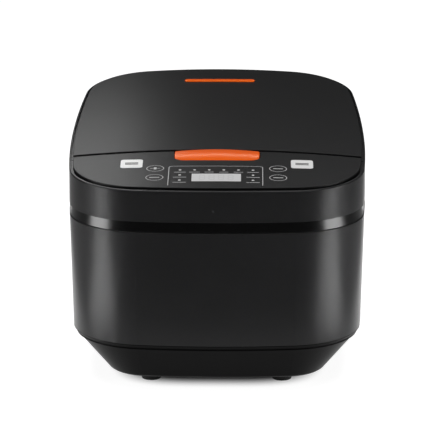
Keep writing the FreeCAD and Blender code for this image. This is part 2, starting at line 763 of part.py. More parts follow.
def base_screws():
    """Screws up through the recessed bosses of the base into the support posts."""
    return group(
        screw_up(x, y, SCREW_SEAT_Z, SCREW_R, SCREW_LENGTH, SCREW_HEAD_R, SCREW_HEAD_HEIGHT)
        for x, y in post_places()
    )


def support_posts():
    """Posts that tie the base cover to the deck."""
    posts = []
    for x, y in post_places():
        post = upright(x, y, POST_R, POST_Z, DECK_UNDER_Z)
        spigot = upright(x, y, POST_SPIGOT_R, DECK_UNDER_Z, DECK_UNDER_Z + POST_SPIGOT_HEIGHT)
        bore = upright(x, y, SCREW_R + PIN_GAP, POST_Z - OVER, SCREW_SEAT_Z + SCREW_LENGTH + OVER)
        posts.append(fused([post, spigot]).cut(bore))
    return group(posts)


def inlet_y(inset):
    """Back face of the outline at the inlet."""
    radius = REAR_BOW_R - inset
    return REAR_Y - REAR_BOW_R + math.sqrt(radius ** 2 - INLET_X ** 2)


def inlet_face_y():
    """Seat of the inlet flange on the back of the body shell."""
    draft = BODY_DRAFT * (BAND_Z - INLET_Z) / BODY_HEIGHT
    return inlet_y(draft) + INLET_PROUD - INLET_FLANGE_DEPTH


def inlet_block(margin, y_low, y_high):
    """Upright rectangle round the inlet, grown by a margin."""
    half_width, half_height = INLET_WIDTH / 2 + margin, INLET_HEIGHT / 2 + margin
    x_range = (INLET_X - half_width, INLET_X + half_width)
    return box(x_range, (y_low, y_high), (INLET_Z - half_height, INLET_Z + half_height))


def body_shell():
    """Drafted wall with a neck behind the trim band and a seat for the inlet."""
    bottom_z, neck_z = BASE_SEAM_Z, RING_Z - STACK_GAP / 2
    wall = ring([
        (BODY_DRAFT, bottom_z),
        (0, BAND_Z, BAND_EDGE_R),
        (BAND_BACK, BAND_Z),
        (BAND_BACK, neck_z),
        (NECK_INNER, neck_z),
        (NECK_INNER, BAND_Z - WALL),
        (WALL, BAND_Z - WALL - BAND_BACK),
        (BODY_DRAFT + WALL, bottom_z),
    ])
    seat_y = inlet_face_y()
    rim = INLET_WALL + INLET_FLANGE
    pad = inlet_block(rim + INLET_WALL, seat_y - INLET_PAD, seat_y + INLET_FLANGE_DEPTH).common(
        slab(BODY_DRAFT, BASE_Z, RING_Z)
    )
    recess = inlet_block(rim + FIT_GAP, seat_y, REAR_Y + OVER)
    hole = inlet_block(INLET_WALL + FIT_GAP, seat_y - INLET_PAD - OVER, seat_y + OVER)
    return fused([wall, pad]).cut([recess, hole])


def trim_band():
    """Gloss band let in between the body shell and the upper ring, leaning in at its top."""
    low, high = BAND_Z + STACK_GAP / 2, RING_Z - STACK_GAP / 2
    return ring([
        (BAND_INSET, low, BAND_EDGE_R),
        (BAND_INSET + BAND_LEAN, high, BAND_EDGE_R),
        (BAND_INSET + BAND_LEAN + BAND_WALL, high),
        (BAND_INSET + BAND_LEAN + BAND_WALL, low),
    ])


def upper_block():
    """Whole upper body, lid and control housing together, with its rounded rim."""
    top_z = TOP_Z + DEPTH / 4
    low_z = RING_Z + STACK_GAP / 2
    block = Part.makeLoft([outline(0, low_z), outline(RIM_LEAN, top_z)], True, True)
    block = block.common(under_top(RIM_DROP))
    rim = [edge for edge in block.Edges if edge.BoundBox.ZMin > PARTING_Z]
    return block.makeFillet(RIM_R, rim)


UPPER_BLOCK = upper_block()


def hinge_half():
    """Half length of the hinge barrel: past where the back outline crosses the hinge axis."""
    corner_x, corner_y = plan_quarter(REAR_REACH, REAR_BOW_R, REAR_CORNER_R, REAR_SIDE_TAPER)[:2]
    rise = HINGE_Y - WIDE_Y - corner_y
    return corner_x + math.sqrt(REAR_CORNER_R ** 2 - rise ** 2) + 2 * OVER


def button_plan(grow, z_low, z_high):
    """Plan prism of the release button, grown by a clearance."""
    half = BUTTON_WIDTH / 2 + grow
    prism = box((-half, half), (BUTTON_FRONT_Y - grow, SEAM_Y + OVER), (z_low, z_high))
    front = [
        edge
        for edge in prism.Edges
        if edge.BoundBox.ZLength > OVER and edge.BoundBox.YMax < BUTTON_REAR_Y - OVER
    ]
    return prism.makeFillet(BUTTON_CORNER_R + grow, front)


def panel_recess(keep):
    """Pocket under a panel and the groove round it, on one side of the seam."""
    pocket = slab(GROOVE_INSET, RING_Z, 2 * TOP_Z, GROOVE_ARCS)
    return pocket.cut(under_top(POCKET_DROP)).common(keep)


def latch_ears():
    """Two ears under the button well that carry the latch pin, and the seat of the latch spring."""
    y_low, y_high = STEM_Y - LATCH_ARM_HALF, SEAM_WALL_Y - EAR_SETBACK
    ears = []
    for side in SIDES:
        x_range = sorted((side * EAR_X, side * (EAR_X + EAR_WALL)))
        ears.append(box(x_range, (y_low, y_high), (BRIDGE_Z - EAR_WALL, WELL_FLOOR_Z - WELL_WALL / 2)))
    bridge_x = EAR_X + EAR_WALL
    bridge_y = (y_low, STEM_Y + LATCH_ARM_HALF)
    bridge = box((-bridge_x, bridge_x), bridge_y, (BRIDGE_Z - EAR_WALL, BRIDGE_Z))
    pin = across(LATCH_Y, LATCH_Z, LATCH_PIN_R, -bridge_x - OVER, bridge_x + OVER)
    return fused(ears + [bridge]).cut(pin)


def button_well():
    """Cup under the release button, with a hole for its stem."""
    floor_z = WELL_FLOOR_Z - WELL_WALL
    cup = button_plan(BUTTON_GAP + WELL_WALL, floor_z, TOP_Z)
    cup = cup.common(under_top(CAVITY_DROP - OVER)).common(front_of_seam(-SEAM_FRAME_GAP / 2))
    return cup


def hinge_lugs():
    """Two lugs that stand in the trough and hold the hinge pin."""
    lugs = []
    for side in SIDES:
        x_range = sorted((side * LUG_INNER_X, side * LUG_OUTER_X))
        eye = across(HINGE_Y, HINGE_Z, LUG_R, *x_range)
        leg = box(x_range, (HINGE_Y - LUG_R, HINGE_Y + LUG_R), (RING_Z + STACK_GAP, HINGE_Z))
        lugs.append(fused([eye, leg]))
    return lugs


def upper_housing():
    """Upper ring, deck round the pot, hinge trough and front control housing in one moulding."""
    seam_face = front_of_seam(-SEAM_FRAME_GAP / 2)
    low = UPPER_BLOCK.common(slab(-OVER, RING_Z, DECK_TOP_Z))
    front = UPPER_BLOCK.common(seam_face)
    deck_cavity = slab(WALL, RING_Z - OVER, DECK_UNDER_Z)
    front_cavity = slab(WALL + RIM_LEAN, RING_Z - OVER, 2 * TOP_Z).common(under_top(CAVITY_DROP))
    front_cavity = front_cavity.common(front_of_seam(-SEAM_FRAME_GAP / 2 - WALL))
    housing = fused([front, low]).cut([deck_cavity, front_cavity])
    low_z = RING_Z + STACK_GAP / 2
    spigot = ring([
        (OVER / 2, low_z),
        (OVER / 2, low_z + WALL),
        (NECK_INNER + FIT_GAP + LIP_WALL, low_z + WALL),
        (NECK_INNER + FIT_GAP + LIP_WALL, RING_Z - LIP_HEIGHT),
        (NECK_INNER + FIT_GAP, RING_Z - LIP_HEIGHT),
        (NECK_INNER + FIT_GAP, low_z),
    ])
    half = hinge_half()
    trough = across(HINGE_Y, HINGE_Z, TROUGH_R + TROUGH_WALL, -half - WALL, half + WALL)
    trough = trough.common(slab(OVER / 2, low_z, DECK_TOP_Z))
    bosses = [
        top_round(x, y, BOARD_BOSS_R, BOARD_DROP, POCKET_DROP + POCKET_SKIN / 2)
        for x, y in corner_places(BOARD_Y, BOARD_WIDTH, BOARD_DEPTH, BOARD_BOSS_INSET)
    ]
    housing = fused([housing, spigot, trough, button_well(), latch_ears()] + bosses)
    well = button_plan(BUTTON_GAP, WELL_FLOOR_Z, 2 * TOP_Z)
    slot_half = CATCH_HALF + CATCH_SLOT_GAP
    slot_y = (SEAM_WALL_Y - RUN_GAP, CATCH_REAR_Y + CATCH_SLOT_GAP)
    window_depth = BOARD_DEPTH + 2 * BOARD_WINDOW_MARGIN
    spigot_top = DECK_UNDER_Z + POST_SPIGOT_HEIGHT + PIN_GAP
    cuts = [
        panel_recess(seam_face),
        well,
        upright(0, STEM_Y, STEM_R + RUN_GAP, WELL_FLOOR_Z - WELL_WALL - OVER, WELL_FLOOR_Z + OVER),
        upright(0, POT_Y, POT_OUTER_R + DECK_HOLE_GAP, RING_Z, PARTING_Z),
        upright(0, POT_Y, POT_FLANGE_R + CATCH_SLOT_GAP, POT_SEAT_Z, PARTING_Z),
        across(HINGE_Y, HINGE_Z, TROUGH_R, -half - OVER, half + OVER),
        box((-slot_half, slot_half), slot_y, (DECK_UNDER_Z - OVER, PARTING_Z)),
        top_block(0, BOARD_Y, BOARD_WINDOW_WIDTH, window_depth, CAVITY_DROP + OVER, POCKET_DROP - OVER),
    ]
    cuts += [
        upright(x, y, POST_SPIGOT_R + PIN_GAP, DECK_UNDER_Z - OVER, spigot_top)
        for x, y in post_places()
    ]
    cuts += [
        upright(x, y, SCREW_R + PIN_GAP, DECK_UNDER_Z - OVER, DECK_UNDER_Z + SHELL_SCREW_LENGTH)
        for x, y in shell_screw_places()
    ]
    cuts += [
        top_round(x, y, BOARD_SCREW_R + PIN_GAP, BOARD_DROP + OVER, BOARD_DROP - BOARD_SCREW_LENGTH)
        for x, y in corner_places(BOARD_Y, BOARD_WIDTH, BOARD_DEPTH, BOARD_BOSS_INSET)
    ]
    housing = housing.cut(cuts)
    lugs = [lug.common(slab(RIM_LEAN, RING_Z, TOP_Z)) for lug in hinge_lugs()]
    pin_bore = across(HINGE_Y, HINGE_Z, HINGE_PIN_R + PIN_GAP / 2, -LUG_OUTER_X - OVER, LUG_OUTER_X + OVER)
    return fused([housing] + lugs).cut(pin_bore)


def hinge_pin():
    """Steel rod through the lugs and the lid barrel."""
    return across(HINGE_Y, HINGE_Z, HINGE_PIN_R, -HINGE_PIN_HALF, HINGE_PIN_HALF)


def hinge_spring():
    """Torsion spring round the pin, with one leg on the trough and one in the lid barrel."""
    length = 2 * HINGE_SPRING_HALF
    legs = [
        Part.makeCylinder(
            HINGE_SPRING_WIRE_R, HINGE_SPRING_LEG, FreeCAD.Vector(HINGE_SPRING_R, 0, 0), ALONG_Y * -1
        ),
        Part.makeCylinder(
            HINGE_SPRING_WIRE_R, HINGE_SPRING_CATCH_LEG, FreeCAD.Vector(HINGE_SPRING_R, 0, length), ALONG_Y
        ),
    ]
    winding = coil(HINGE_SPRING_R, HINGE_SPRING_WIRE_R, HINGE_SPRING_TURNS, length)
    spring = winding.multiFuse(legs)
    spring.rotate(FreeCAD.Vector(), ALONG_Y, 90)
    spring.translate(FreeCAD.Vector(-HINGE_SPRING_HALF, HINGE_Y, HINGE_Z))
    return spring


def panel_plate(keep):
    """Panel with a turned-down skirt that stands on the pocket floor, on one side of the seam."""
    outer = slab(PANEL_INSET, RING_Z, 2 * TOP_Z, PANEL_ARCS).common(keep).common(under_top(0))
    crest = max(outer.Faces, key=lambda face: face.CenterOfMass.z)
    outer = outer.makeFillet(PANEL_EDGE_R, crest.Edges)
    hollow = slab(PANEL_INSET + PANEL_SKIRT_WALL, RING_Z, 2 * TOP_Z, PANEL_ARCS)
    return outer.cut(under_top(POCKET_DROP)), hollow.common(under_top(PANEL_SKIN))


def key_places():
    """Names and plan places of the four keys."""
    places = {}
    for row, from_seam in zip(("rear", "front"), KEY_ROWS_FROM_SEAM):
        for side, name in zip(SIDES, ("left", "right")):
            places["key_%s_%s" % (name, row)] = (side * KEY_X, SEAM_Y - from_seam)
    return places


def light_places():
    """Plan places of the indicator lights: a row above the display and a column on each side."""
    rows = [SEAM_Y - from_seam for from_seam in LIGHT_ROWS_FROM_SEAM]
    half = (LIGHT_TOP_COUNT - 1) / 2
    places = [((index - half) * LIGHT_PITCH_X, rows[0]) for index in range(LIGHT_TOP_COUNT)]
    places += [(side * half * LIGHT_PITCH_X, y) for y in rows[1:] for side in SIDES]
    return places


def control_panel():
    """Front panel with openings for the keys, lights, display and release button."""
    plate, hollow = panel_plate(front_of_seam(-SEAM_PANEL_GAP / 2))
    hollow = hollow.common(front_of_seam(-SEAM_PANEL_GAP / 2 - PANEL_SKIRT_WALL))
    cuts = [hollow, button_plan(BUTTON_GAP, RING_Z, 2 * TOP_Z)]
    cuts += [top_round(x, y, KEY_R + KEY_GAP, PANEL_SKIN + OVER, -OVER) for x, y in key_places().values()]
    cuts += [top_round(x, y, LIGHT_R + PIN_GAP, PANEL_SKIN + OVER, -OVER) for x, y in light_places()]
    width, depth = DISPLAY_WIDTH + 2 * FIT_GAP, DISPLAY_DEPTH + 2 * FIT_GAP
    cuts.append(top_block(0, DISPLAY_Y, width, depth, PANEL_SKIN + OVER, -OVER))
    return plate.cut(cuts)


def display_window():
    """Clear window set flush in the panel, with a flange behind it."""
    pane = top_block(0, DISPLAY_Y, DISPLAY_WIDTH, DISPLAY_DEPTH, PANEL_SKIN, -OVER).common(under_top(0))
    width, depth = DISPLAY_WIDTH + 2 * DISPLAY_FLANGE, DISPLAY_DEPTH + 2 * DISPLAY_FLANGE
    flange_drop = PANEL_SKIN + CROWN_RISE * (width / WIDTH) ** 2
    low_drop = flange_drop + DISPLAY_FLANGE_HEIGHT
    flange = top_block(0, DISPLAY_Y, width, depth, low_drop, flange_drop)
    neck = top_block(0, DISPLAY_Y, DISPLAY_WIDTH, DISPLAY_DEPTH, low_drop, PANEL_SKIN)
    return fused([pane, neck, flange])


def display_module():
    """Number display that stands on the control board behind the window."""
    top_drop = PANEL_SKIN + DISPLAY_FLANGE_HEIGHT + RUN_GAP
    return top_block(0, DISPLAY_Y, DISPLAY_WIDTH, DISPLAY_DEPTH, BOARD_DROP, top_drop)


def indicator_lights():
    """Light pipes from the control board to the panel face."""
    face = under_top(0)
    return group(top_round(x, y, LIGHT_R, BOARD_DROP, -OVER).common(face) for x, y in light_places())


def control_board():
    """Circuit board that hangs from the bosses under the panel."""
    low_drop = BOARD_DROP + BOARD_THICKNESS
    board = top_block(0, BOARD_Y, BOARD_WIDTH, BOARD_DEPTH, low_drop, BOARD_DROP)
    return board.cut([
        top_round(x, y, BOARD_SCREW_R + FIT_GAP, low_drop + OVER, BOARD_DROP - OVER)
        for x, y in corner_places(BOARD_Y, BOARD_WIDTH, BOARD_DEPTH, BOARD_BOSS_INSET)
    ])


def board_screws():
    """Screws through the control board into its bosses."""
    low_drop = BOARD_DROP + BOARD_THICKNESS
    screws = []
    for x, y in corner_places(BOARD_Y, BOARD_WIDTH, BOARD_DEPTH, BOARD_BOSS_INSET):
        shank = top_round(x, y, BOARD_SCREW_R, low_drop, BOARD_DROP - BOARD_SCREW_LENGTH + FIT_GAP)
        head = top_round(x, y, BOARD_SCREW_HEAD_R, low_drop + BOARD_SCREW_HEAD_HEIGHT, low_drop)
        screws.append(fused([shank, head]))
    return group(screws)


def tact_switches():
    """Small switches under the keys."""
    switches = []
    for x, y in key_places().values():
        case = top_block(x, y, SWITCH_SIZE, SWITCH_SIZE, BOARD_DROP, KEY_SWITCH_DROP)
        plunger = top_round(x, y, SWITCH_BUTTON_R, KEY_SWITCH_DROP, SWITCH_TOP_DROP)
        switches.append(fused([case, plunger]))
    return group(switches)


def key_cap(x, y):
    """Round key flush with the panel, with a flange that keeps it in and a plunger."""
    face = top_round(x, y, KEY_R, KEY_FLANGE_DROP, -OVER).common(under_top(0))
    low_drop = KEY_FLANGE_DROP + KEY_FLANGE_HEIGHT + CROWN_RISE * (KEY_X / HALF_WIDTH) ** 2
    crown_drop = KEY_FLANGE_DROP + CROWN_RISE * ((KEY_X + KEY_R + KEY_FLANGE) / HALF_WIDTH) ** 2
    flange = top_round(x, y, KEY_R + KEY_FLANGE, low_drop, crown_drop)
    neck = top_round(x, y, KEY_R, low_drop, KEY_FLANGE_DROP)
    plunger = top_round(x, y, KEY_PLUNGER_R, KEY_BOTTOM_DROP, KEY_FLANGE_DROP)
    return fused([face, neck, flange, plunger])


def label_plates():
    """Two plain rounded label plates on the panel."""
    raised, face = under_top(-LABEL_THICKNESS), under_top(0)
    plates = []
    for side in SIDES:
        x, y = side * LABEL_X, SEAM_Y - LABEL_FROM_SEAM
        plate = top_block(x, y, LABEL_WIDTH, LABEL_DEPTH, PANEL_SKIN, -OVER)
        corners = [edge for edge in plate.Edges if edge.BoundBox.ZLength > edge.BoundBox.XLength + OVER]
        corners = [edge for edge in corners if edge.BoundBox.YLength < OVER]
        plates.append(plate.makeFillet(LABEL_CORNER_R, corners).common(raised).cut(face))
    return group(plates)


def release_button():
    """Crowned button with a hollow underside and a long stem that reaches the latch lever."""
    low = BUTTON_Z - TOP_Z - BUTTON_DEPTH
    front_v, rear_v = along_top(BUTTON_FRONT_Y - OVER), along_top(SEAM_Y + OVER)
    middle_v = (front_v + rear_v) / 2

    def place(v, rise):
        return FreeCAD.Vector(0, v, rise)

    front_top, rear_top = place(front_v, BUTTON_FRONT_RISE), place(rear_v, BUTTON_REAR_RISE)
    edges = [
        Part.Arc(front_top, place(middle_v, BUTTON_MIDDLE_RISE), rear_top).toShape(),
        Part.makeLine(rear_top, place(rear_v, low)),
        Part.makeLine(place(rear_v, low), place(front_v, low)),
        Part.makeLine(place(front_v, low), front_top),
    ]
    face = Part.Face(Part.Wire(edges))
    sweep = 2 * math.degrees(math.asin(BUTTON_WIDTH / BUTTON_CROWN_R))
    axis_point = FreeCAD.Vector(0, 0, BUTTON_MIDDLE_RISE - BUTTON_CROWN_R)
    face.rotate(axis_point, ALONG_Y, -sweep / 2)
    crowned = tilted(face.revolve(axis_point, ALONG_Y, sweep))
    outer = button_plan(0, BUTTON_Z, 2 * TOP_Z).common(front_of_seam(-SEAM_PANEL_GAP / 2)).common(crowned)
    crest = max(outer.Faces, key=lambda part: part.CenterOfMass.z)
    outer = outer.makeFillet(BUTTON_EDGE_R, crest.Edges)
    pocket = button_plan(-BUTTON_WALL, BUTTON_Z - OVER, BUTTON_Z + BUTTON_POCKET)
    pocket = pocket.common(front_of_seam(-SEAM_PANEL_GAP / 2 - BUTTON_WALL))
    tip_z = STEM_TIP_Z + STEM_R
    stem = upright(0, STEM_Y, STEM_R, tip_z, BUTTON_Z + BUTTON_POCKET)
    tip = Part.makeSphere(STEM_R, FreeCAD.Vector(0, STEM_Y, tip_z))
    return fused([outer.cut(pocket), stem, tip])


def button_springs():
    """Two springs that lift the release button."""
    y = (BUTTON_FRONT_Y + BUTTON_REAR_Y) / 2
    seats = (WELL_FLOOR_Z, BUTTON_Z + BUTTON_POCKET)
    coil_sizes = (BUTTON_SPRING_R, BUTTON_SPRING_WIRE_R, BUTTON_SPRING_TURNS)
    return group(compression_spring(side * BUTTON_SPRING_X, y, *seats, *coil_sizes) for side in SIDES)


def latch_lever():
    """Lever whose front arm the button presses and whose hook holds the lid catch."""
    hub = across(LATCH_Y, LATCH_Z, LATCH_HUB_R, -LATCH_HALF, LATCH_HALF)
    arm_y = (LATCH_Y - LATCH_ARM_LENGTH, LATCH_Y)
    arm_z = (ARM_UNDER_Z, LATCH_Z + LATCH_ARM_RISE)
    arm = box((-LATCH_ARM_HALF, LATCH_ARM_HALF), arm_y, arm_z)
    hook_top = HOOK_Z + HOOK_THICKNESS
    back_y = LATCH_Y - HOOK_ARM_THICKNESS / 2
    upright_arm = box((-HOOK_HALF, HOOK_HALF), (back_y, back_y + HOOK_ARM_THICKNESS), (LATCH_Z, hook_top))
    nose = box((-HOOK_HALF, HOOK_HALF), (back_y, SEAM_WALL_Y), (HOOK_Z, hook_top))
    bore = across(LATCH_Y, LATCH_Z, LATCH_PIN_R + PIN_GAP, -LATCH_HALF - OVER, LATCH_HALF + OVER)
    return fused([hub, arm, upright_arm, nose]).cut(bore)


def latch_pin():
    """Pin of the latch lever, held in the ears."""
    half = EAR_X + EAR_WALL
    return across(LATCH_Y, LATCH_Z, LATCH_PIN_R - PIN_GAP / 2, -half, half)


def latch_spring():
    """Spring under the front arm of the latch lever."""
    coil_sizes = (LATCH_SPRING_R, LATCH_SPRING_WIRE_R, LATCH_SPRING_TURNS)
    return compression_spring(0, STEM_Y, BRIDGE_Z, ARM_UNDER_Z, *coil_sizes)


def lid_catch():
    """Steel catch inside the front wall of the lid, with a lip for the latch hook."""
    lip_z = CATCH_LIP_TOP_Z - CATCH_LIP_HEIGHT
    x_range = (-CATCH_HALF, CATCH_HALF)
    plate = box(x_range, (LID_WALL_Y, CATCH_REAR_Y), (lip_z, PARTING_Z + CATCH_RISE))
    lip = box(x_range, (CATCH_REAR_Y - CATCH_LIP, CATCH_REAR_Y), (lip_z, CATCH_LIP_TOP_Z))
    hole_y = (LID_WALL_Y - OVER, CATCH_REAR_Y + OVER)
    holes = [catch_round(side, BOARD_SCREW_R + FIT_GAP, *hole_y) for side in SIDES]
    return fused([plate, lip]).cut(holes)


def catch_round(side, radius, y_low, y_high):
    """Round piece along Y at one of the two catch screws."""
    start = FreeCAD.Vector(side * CATCH_SCREW_X, y_low, CATCH_SCREW_Z)
    return Part.makeCylinder(radius, y_high - y_low, start, ALONG_Y)


def catch_screws():
    """Two screws that hold the catch on the lid's front wall."""
    screws = []
    for side in SIDES:
        shank = catch_round(side, BOARD_SCREW_R, LID_WALL_Y - WALL + FIT_GAP, CATCH_REAR_Y)
        head_y = CATCH_REAR_Y + BOARD_SCREW_HEAD_HEIGHT
        screws.append(fused([shank, catch_round(side, BOARD_SCREW_HEAD_R, CATCH_REAR_Y, head_y)]))
    return group(screws)


def inner_pot():
    """Deep pot with a rounded bottom and a flange that rests on the deck."""
    inside_z = POT_Z + POT_WALL
    return turned([
        (0, POT_Z),
        (POT_OUTER_R, POT_Z, POT_CORNER_R),
        (POT_OUTER_R, POT_SEAT_Z),
        (POT_FLANGE_R, POT_SEAT_Z),
        (POT_FLANGE_R, POT_TOP_Z, POT_WALL / 3),
        (POT_INNER_R, POT_TOP_Z, POT_WALL),
        (POT_INNER_R, inside_z, POT_CORNER_R - POT_WALL),
        (0, inside_z),
    ])


def shell_screw_places():
    """Plan places of the screws that hang the inner shell from the deck."""
    return [polar(SHELL_TAB_PITCH_R, angle) for angle in SHELL_TAB_ANGLES_DEG]


def inner_shell():
    """Thin steel cup round the pot, hung from the deck by a flange and four tabs."""
    inside_z = SHELL_Z + SHELL_WALL
    flange_z = DECK_UNDER_Z - SHELL_WALL
    cup = turned([
        (0, SHELL_Z),
        (SHELL_OUTER_R, SHELL_Z, SHELL_CORNER_R),
        (SHELL_OUTER_R, flange_z),
        (SHELL_FLANGE_R, flange_z),
        (SHELL_FLANGE_R, DECK_UNDER_Z),
        (SHELL_INNER_R, DECK_UNDER_Z),
        (SHELL_INNER_R, inside_z, SHELL_CORNER_R - SHELL_WALL),
        (0, inside_z),
    ])
    tabs = []
    for angle in SHELL_TAB_ANGLES_DEG:
        x, y = polar(SHELL_TAB_PITCH_R, angle)
        tab = upright(x, y, SHELL_TAB_R, flange_z, DECK_UNDER_Z)
        reach_y = (SHELL_TAB_PITCH_R - SHELL_TAB_R - SHELL_FLANGE_WIDTH, SHELL_TAB_PITCH_R)
        reach = box((-SHELL_TAB_R, SHELL_TAB_R), reach_y, (flange_z, DECK_UNDER_Z))
        reach.rotate(FreeCAD.Vector(), UP, -angle)
        reach.translate(ALONG_Y * POT_Y)
        tabs += [tab, reach]
    below, above = SHELL_Z - OVER, inside_z + OVER
    holes = [
        upright(x, y, SCREW_R + FIT_GAP, flange_z - OVER, DECK_UNDER_Z + OVER)
        for x, y in shell_screw_places()
    ]
    holes += [upright(x, y, TERMINAL_HOLE_R, below, above) for x, y in terminal_places()]
    mouth = upright(0, POT_Y, SHELL_INNER_R, DECK_UNDER_Z - OVER, DECK_UNDER_Z + OVER)
    return fused([cup] + tabs).cut(holes + [mouth])


def shell_screws():
    """Screws through the tabs of the inner shell into the deck."""
    head_z = DECK_UNDER_Z - SHELL_WALL
    length = SHELL_WALL + SHELL_SCREW_LENGTH - FIT_GAP
    return group(
        screw_up(x, y, head_z, SCREW_R, length, SCREW_HEAD_R, SCREW_HEAD_HEIGHT)
        for x, y in shell_screw_places()
    )


def terminal_places():
    """Plan places of the two heater terminals."""
    radius = (HEATER_RING_INNER_R + HEATER_RING_OUTER_R) / 2
    return [polar(radius, angle) for angle in TERMINAL_ANGLES_DEG]


def heating_plate():
    """Cast plate with a ring that holds the element, on three legs."""
    web_z = POT_Z - HEATER_WEB
    plate = turned([
        (HEATER_HOLE_R, POT_Z),
        (HEATER_R, POT_Z, HEATER_EDGE_R),
        (HEATER_R, web_z),
        (HEATER_RING_OUTER_R, web_z),
        (HEATER_RING_OUTER_R, HEATER_Z, HEATER_EDGE_R),
        (HEATER_RING_INNER_R, HEATER_Z, HEATER_EDGE_R),
        (HEATER_RING_INNER_R, web_z),
        (HEATER_HOLE_R, web_z),
    ])
    legs = []
    for index in range(HEATER_LEG_COUNT):
        x, y = polar(HEATER_LEG_PITCH_R, index * 360 / HEATER_LEG_COUNT)
        legs.append(upright(x, y, HEATER_LEG_R, HEATER_Z - HEATER_LEG_HEIGHT, HEATER_Z + HEATER_EDGE_R))
    return fused([plate] + legs).cut([
        upright(x, y, TERMINAL_R + PIN_GAP, HEATER_Z - OVER, HEATER_Z + HEATER_WEB)
        for x, y in terminal_places()
    ])


def heater_terminals():
    """Two posts that bring the heater's ends out below the inner shell."""
    low, high = SHELL_Z - TERMINAL_DROP, HEATER_Z + HEATER_WEB - PIN_GAP
    return group(upright(x, y, TERMINAL_R, low, high) for x, y in terminal_places())


def side_heater():
    """Keep-warm band round the inner shell."""
    low = SHELL_Z + SIDE_HEATER_RISE
    high = low + SIDE_HEATER_HEIGHT
    return turned([
        (SHELL_OUTER_R, low),
        (SIDE_HEATER_R, low),
        (SIDE_HEATER_R, high),
        (SHELL_OUTER_R, high),
    ])


def thermal_fuse():
    """Thermal fuse with a flat tab under the inner shell."""
    x_range = (FUSE_X - FUSE_LENGTH / 2, FUSE_X + FUSE_LENGTH / 2)
    tab = box(x_range, (POT_Y - FUSE_R, POT_Y + FUSE_R), (SHELL_Z - FUSE_R, SHELL_Z))
    can = across(POT_Y, SHELL_Z - FUSE_R, FUSE_R, *x_range)
    return fused([tab, can])


def sensor_bracket():
    """Guide tube of the temperature sensor, on the floor of the inner shell."""
    low = SHELL_Z + SHELL_WALL
    tube_r = SENSOR_R - SENSOR_WALL - RUN_GAP
    top = POT_Z - RUN_GAP - SENSOR_TOP - SENSOR_TRAVEL - 2 * RUN_GAP
    return turned([
        (0, low),
        (SENSOR_FLANGE_R, low),
        (SENSOR_FLANGE_R, low + SENSOR_FLANGE),
        (tube_r, low + SENSOR_FLANGE),
        (tube_r, top),
        (tube_r - SENSOR_TUBE_WALL, top),
        (tube_r - SENSOR_TUBE_WALL, low + SENSOR_FLANGE),
        (0, low + SENSOR_FLANGE),
    ])


def sensor_cap():
    """Cap that the pot presses down."""
    top = POT_Z - RUN_GAP
    return turned([
        (0, top - SENSOR_TOP),
        (SENSOR_R - SENSOR_WALL, top - SENSOR_TOP),
        (SENSOR_R - SENSOR_WALL, top - SENSOR_SKIRT),
        (SENSOR_R, top - SENSOR_SKIRT),
        (SENSOR_R, top, SENSOR_WALL),
        (0, top),
    ])


def sensor_spring():
    """Spring that holds the sensor cap against the pot."""
    low = SHELL_Z + SHELL_WALL + SENSOR_FLANGE
    high = POT_Z - RUN_GAP - SENSOR_TOP
    coil_sizes = (SENSOR_SPRING_R, SENSOR_SPRING_WIRE_R, SENSOR_SPRING_TURNS)
    return compression_spring(0, POT_Y, low, high, *coil_sizes)


def power_board():
    """Power circuit board on its standoffs."""
    half = POWER_BOARD_WIDTH / 2
    y_range = (POWER_BOARD_Y - POWER_BOARD_DEPTH / 2, POWER_BOARD_Y + POWER_BOARD_DEPTH / 2)
    return box((-half, half), y_range, (POWER_BOARD_Z, PARTS_Z))


def board_part(size, place):
    """Block that stands on the power board."""
    x, y = place[0], POWER_BOARD_Y + place[1]
    x_range, y_range = (x - size[0] / 2, x + size[0] / 2), (y - size[1] / 2, y + size[1] / 2)
    return box(x_range, y_range, (PARTS_Z, PARTS_Z + size[2]))


def filter_capacitor():
    """Round capacitor on the power board."""
    x, y = CAPACITOR_PLACE[0], POWER_BOARD_Y + CAPACITOR_PLACE[1]
    return upright(x, y, CAPACITOR_R, PARTS_Z, PARTS_Z + CAPACITOR_HEIGHT)


def power_inlet():
    """Three-pin appliance inlet with a flange and a deep cavity with two cut corners."""
    seat_y = inlet_face_y()
    mouth_y = seat_y + INLET_FLANGE_DEPTH
    floor_y = mouth_y - INLET_CAVITY_DEPTH
    case = inlet_block(INLET_WALL, floor_y - INLET_BACK, mouth_y)
    flange = inlet_block(INLET_WALL + INLET_FLANGE, seat_y, mouth_y)
    cavity = inlet_block(0, floor_y, mouth_y + OVER)
    corners = [
        edge
        for edge in cavity.Edges
        if edge.BoundBox.YLength > OVER and edge.BoundBox.ZMin > INLET_Z
    ]
    cavity = cavity.makeChamfer(INLET_CORNER, corners)
    return fused([case, flange]).cut([cavity] + [pin_block(place, PIN_GAP) for place in pin_places()])


def pin_places():
    """Places of the three inlet pins relative to the inlet's centre."""
    half = PIN_PITCH / 2
    return [(-half, -PIN_EARTH_RISE / 2), (half, -PIN_EARTH_RISE / 2), (0, PIN_EARTH_RISE / 2)]


def pin_block(place, margin):
    """Flat pin that passes through the back of the inlet, grown by a margin."""
    floor_y = inlet_face_y() + INLET_FLANGE_DEPTH - INLET_CAVITY_DEPTH
    x, z = INLET_X + place[0], INLET_Z + place[1]
    half_width, half_height = PIN_WIDTH / 2 + margin, PIN_HEIGHT / 2 + margin
    y_range = (floor_y - INLET_BACK - PIN_TAIL, floor_y + PIN_REACH)
    return box((x - half_width, x + half_width), y_range, (z - half_height, z + half_height))


def inlet_pins():
    """Three flat pins of the inlet."""
    return group(pin_block(place, 0) for place in pin_places())


def lid_boss_places():
    """Plan places of the screws between the lid liner and the lid frame."""
    return [(side * LID_SCREW_X, y) for y in (LID_SCREW_FRONT_Y, LID_SCREW_REAR_Y) for side in SIDES]


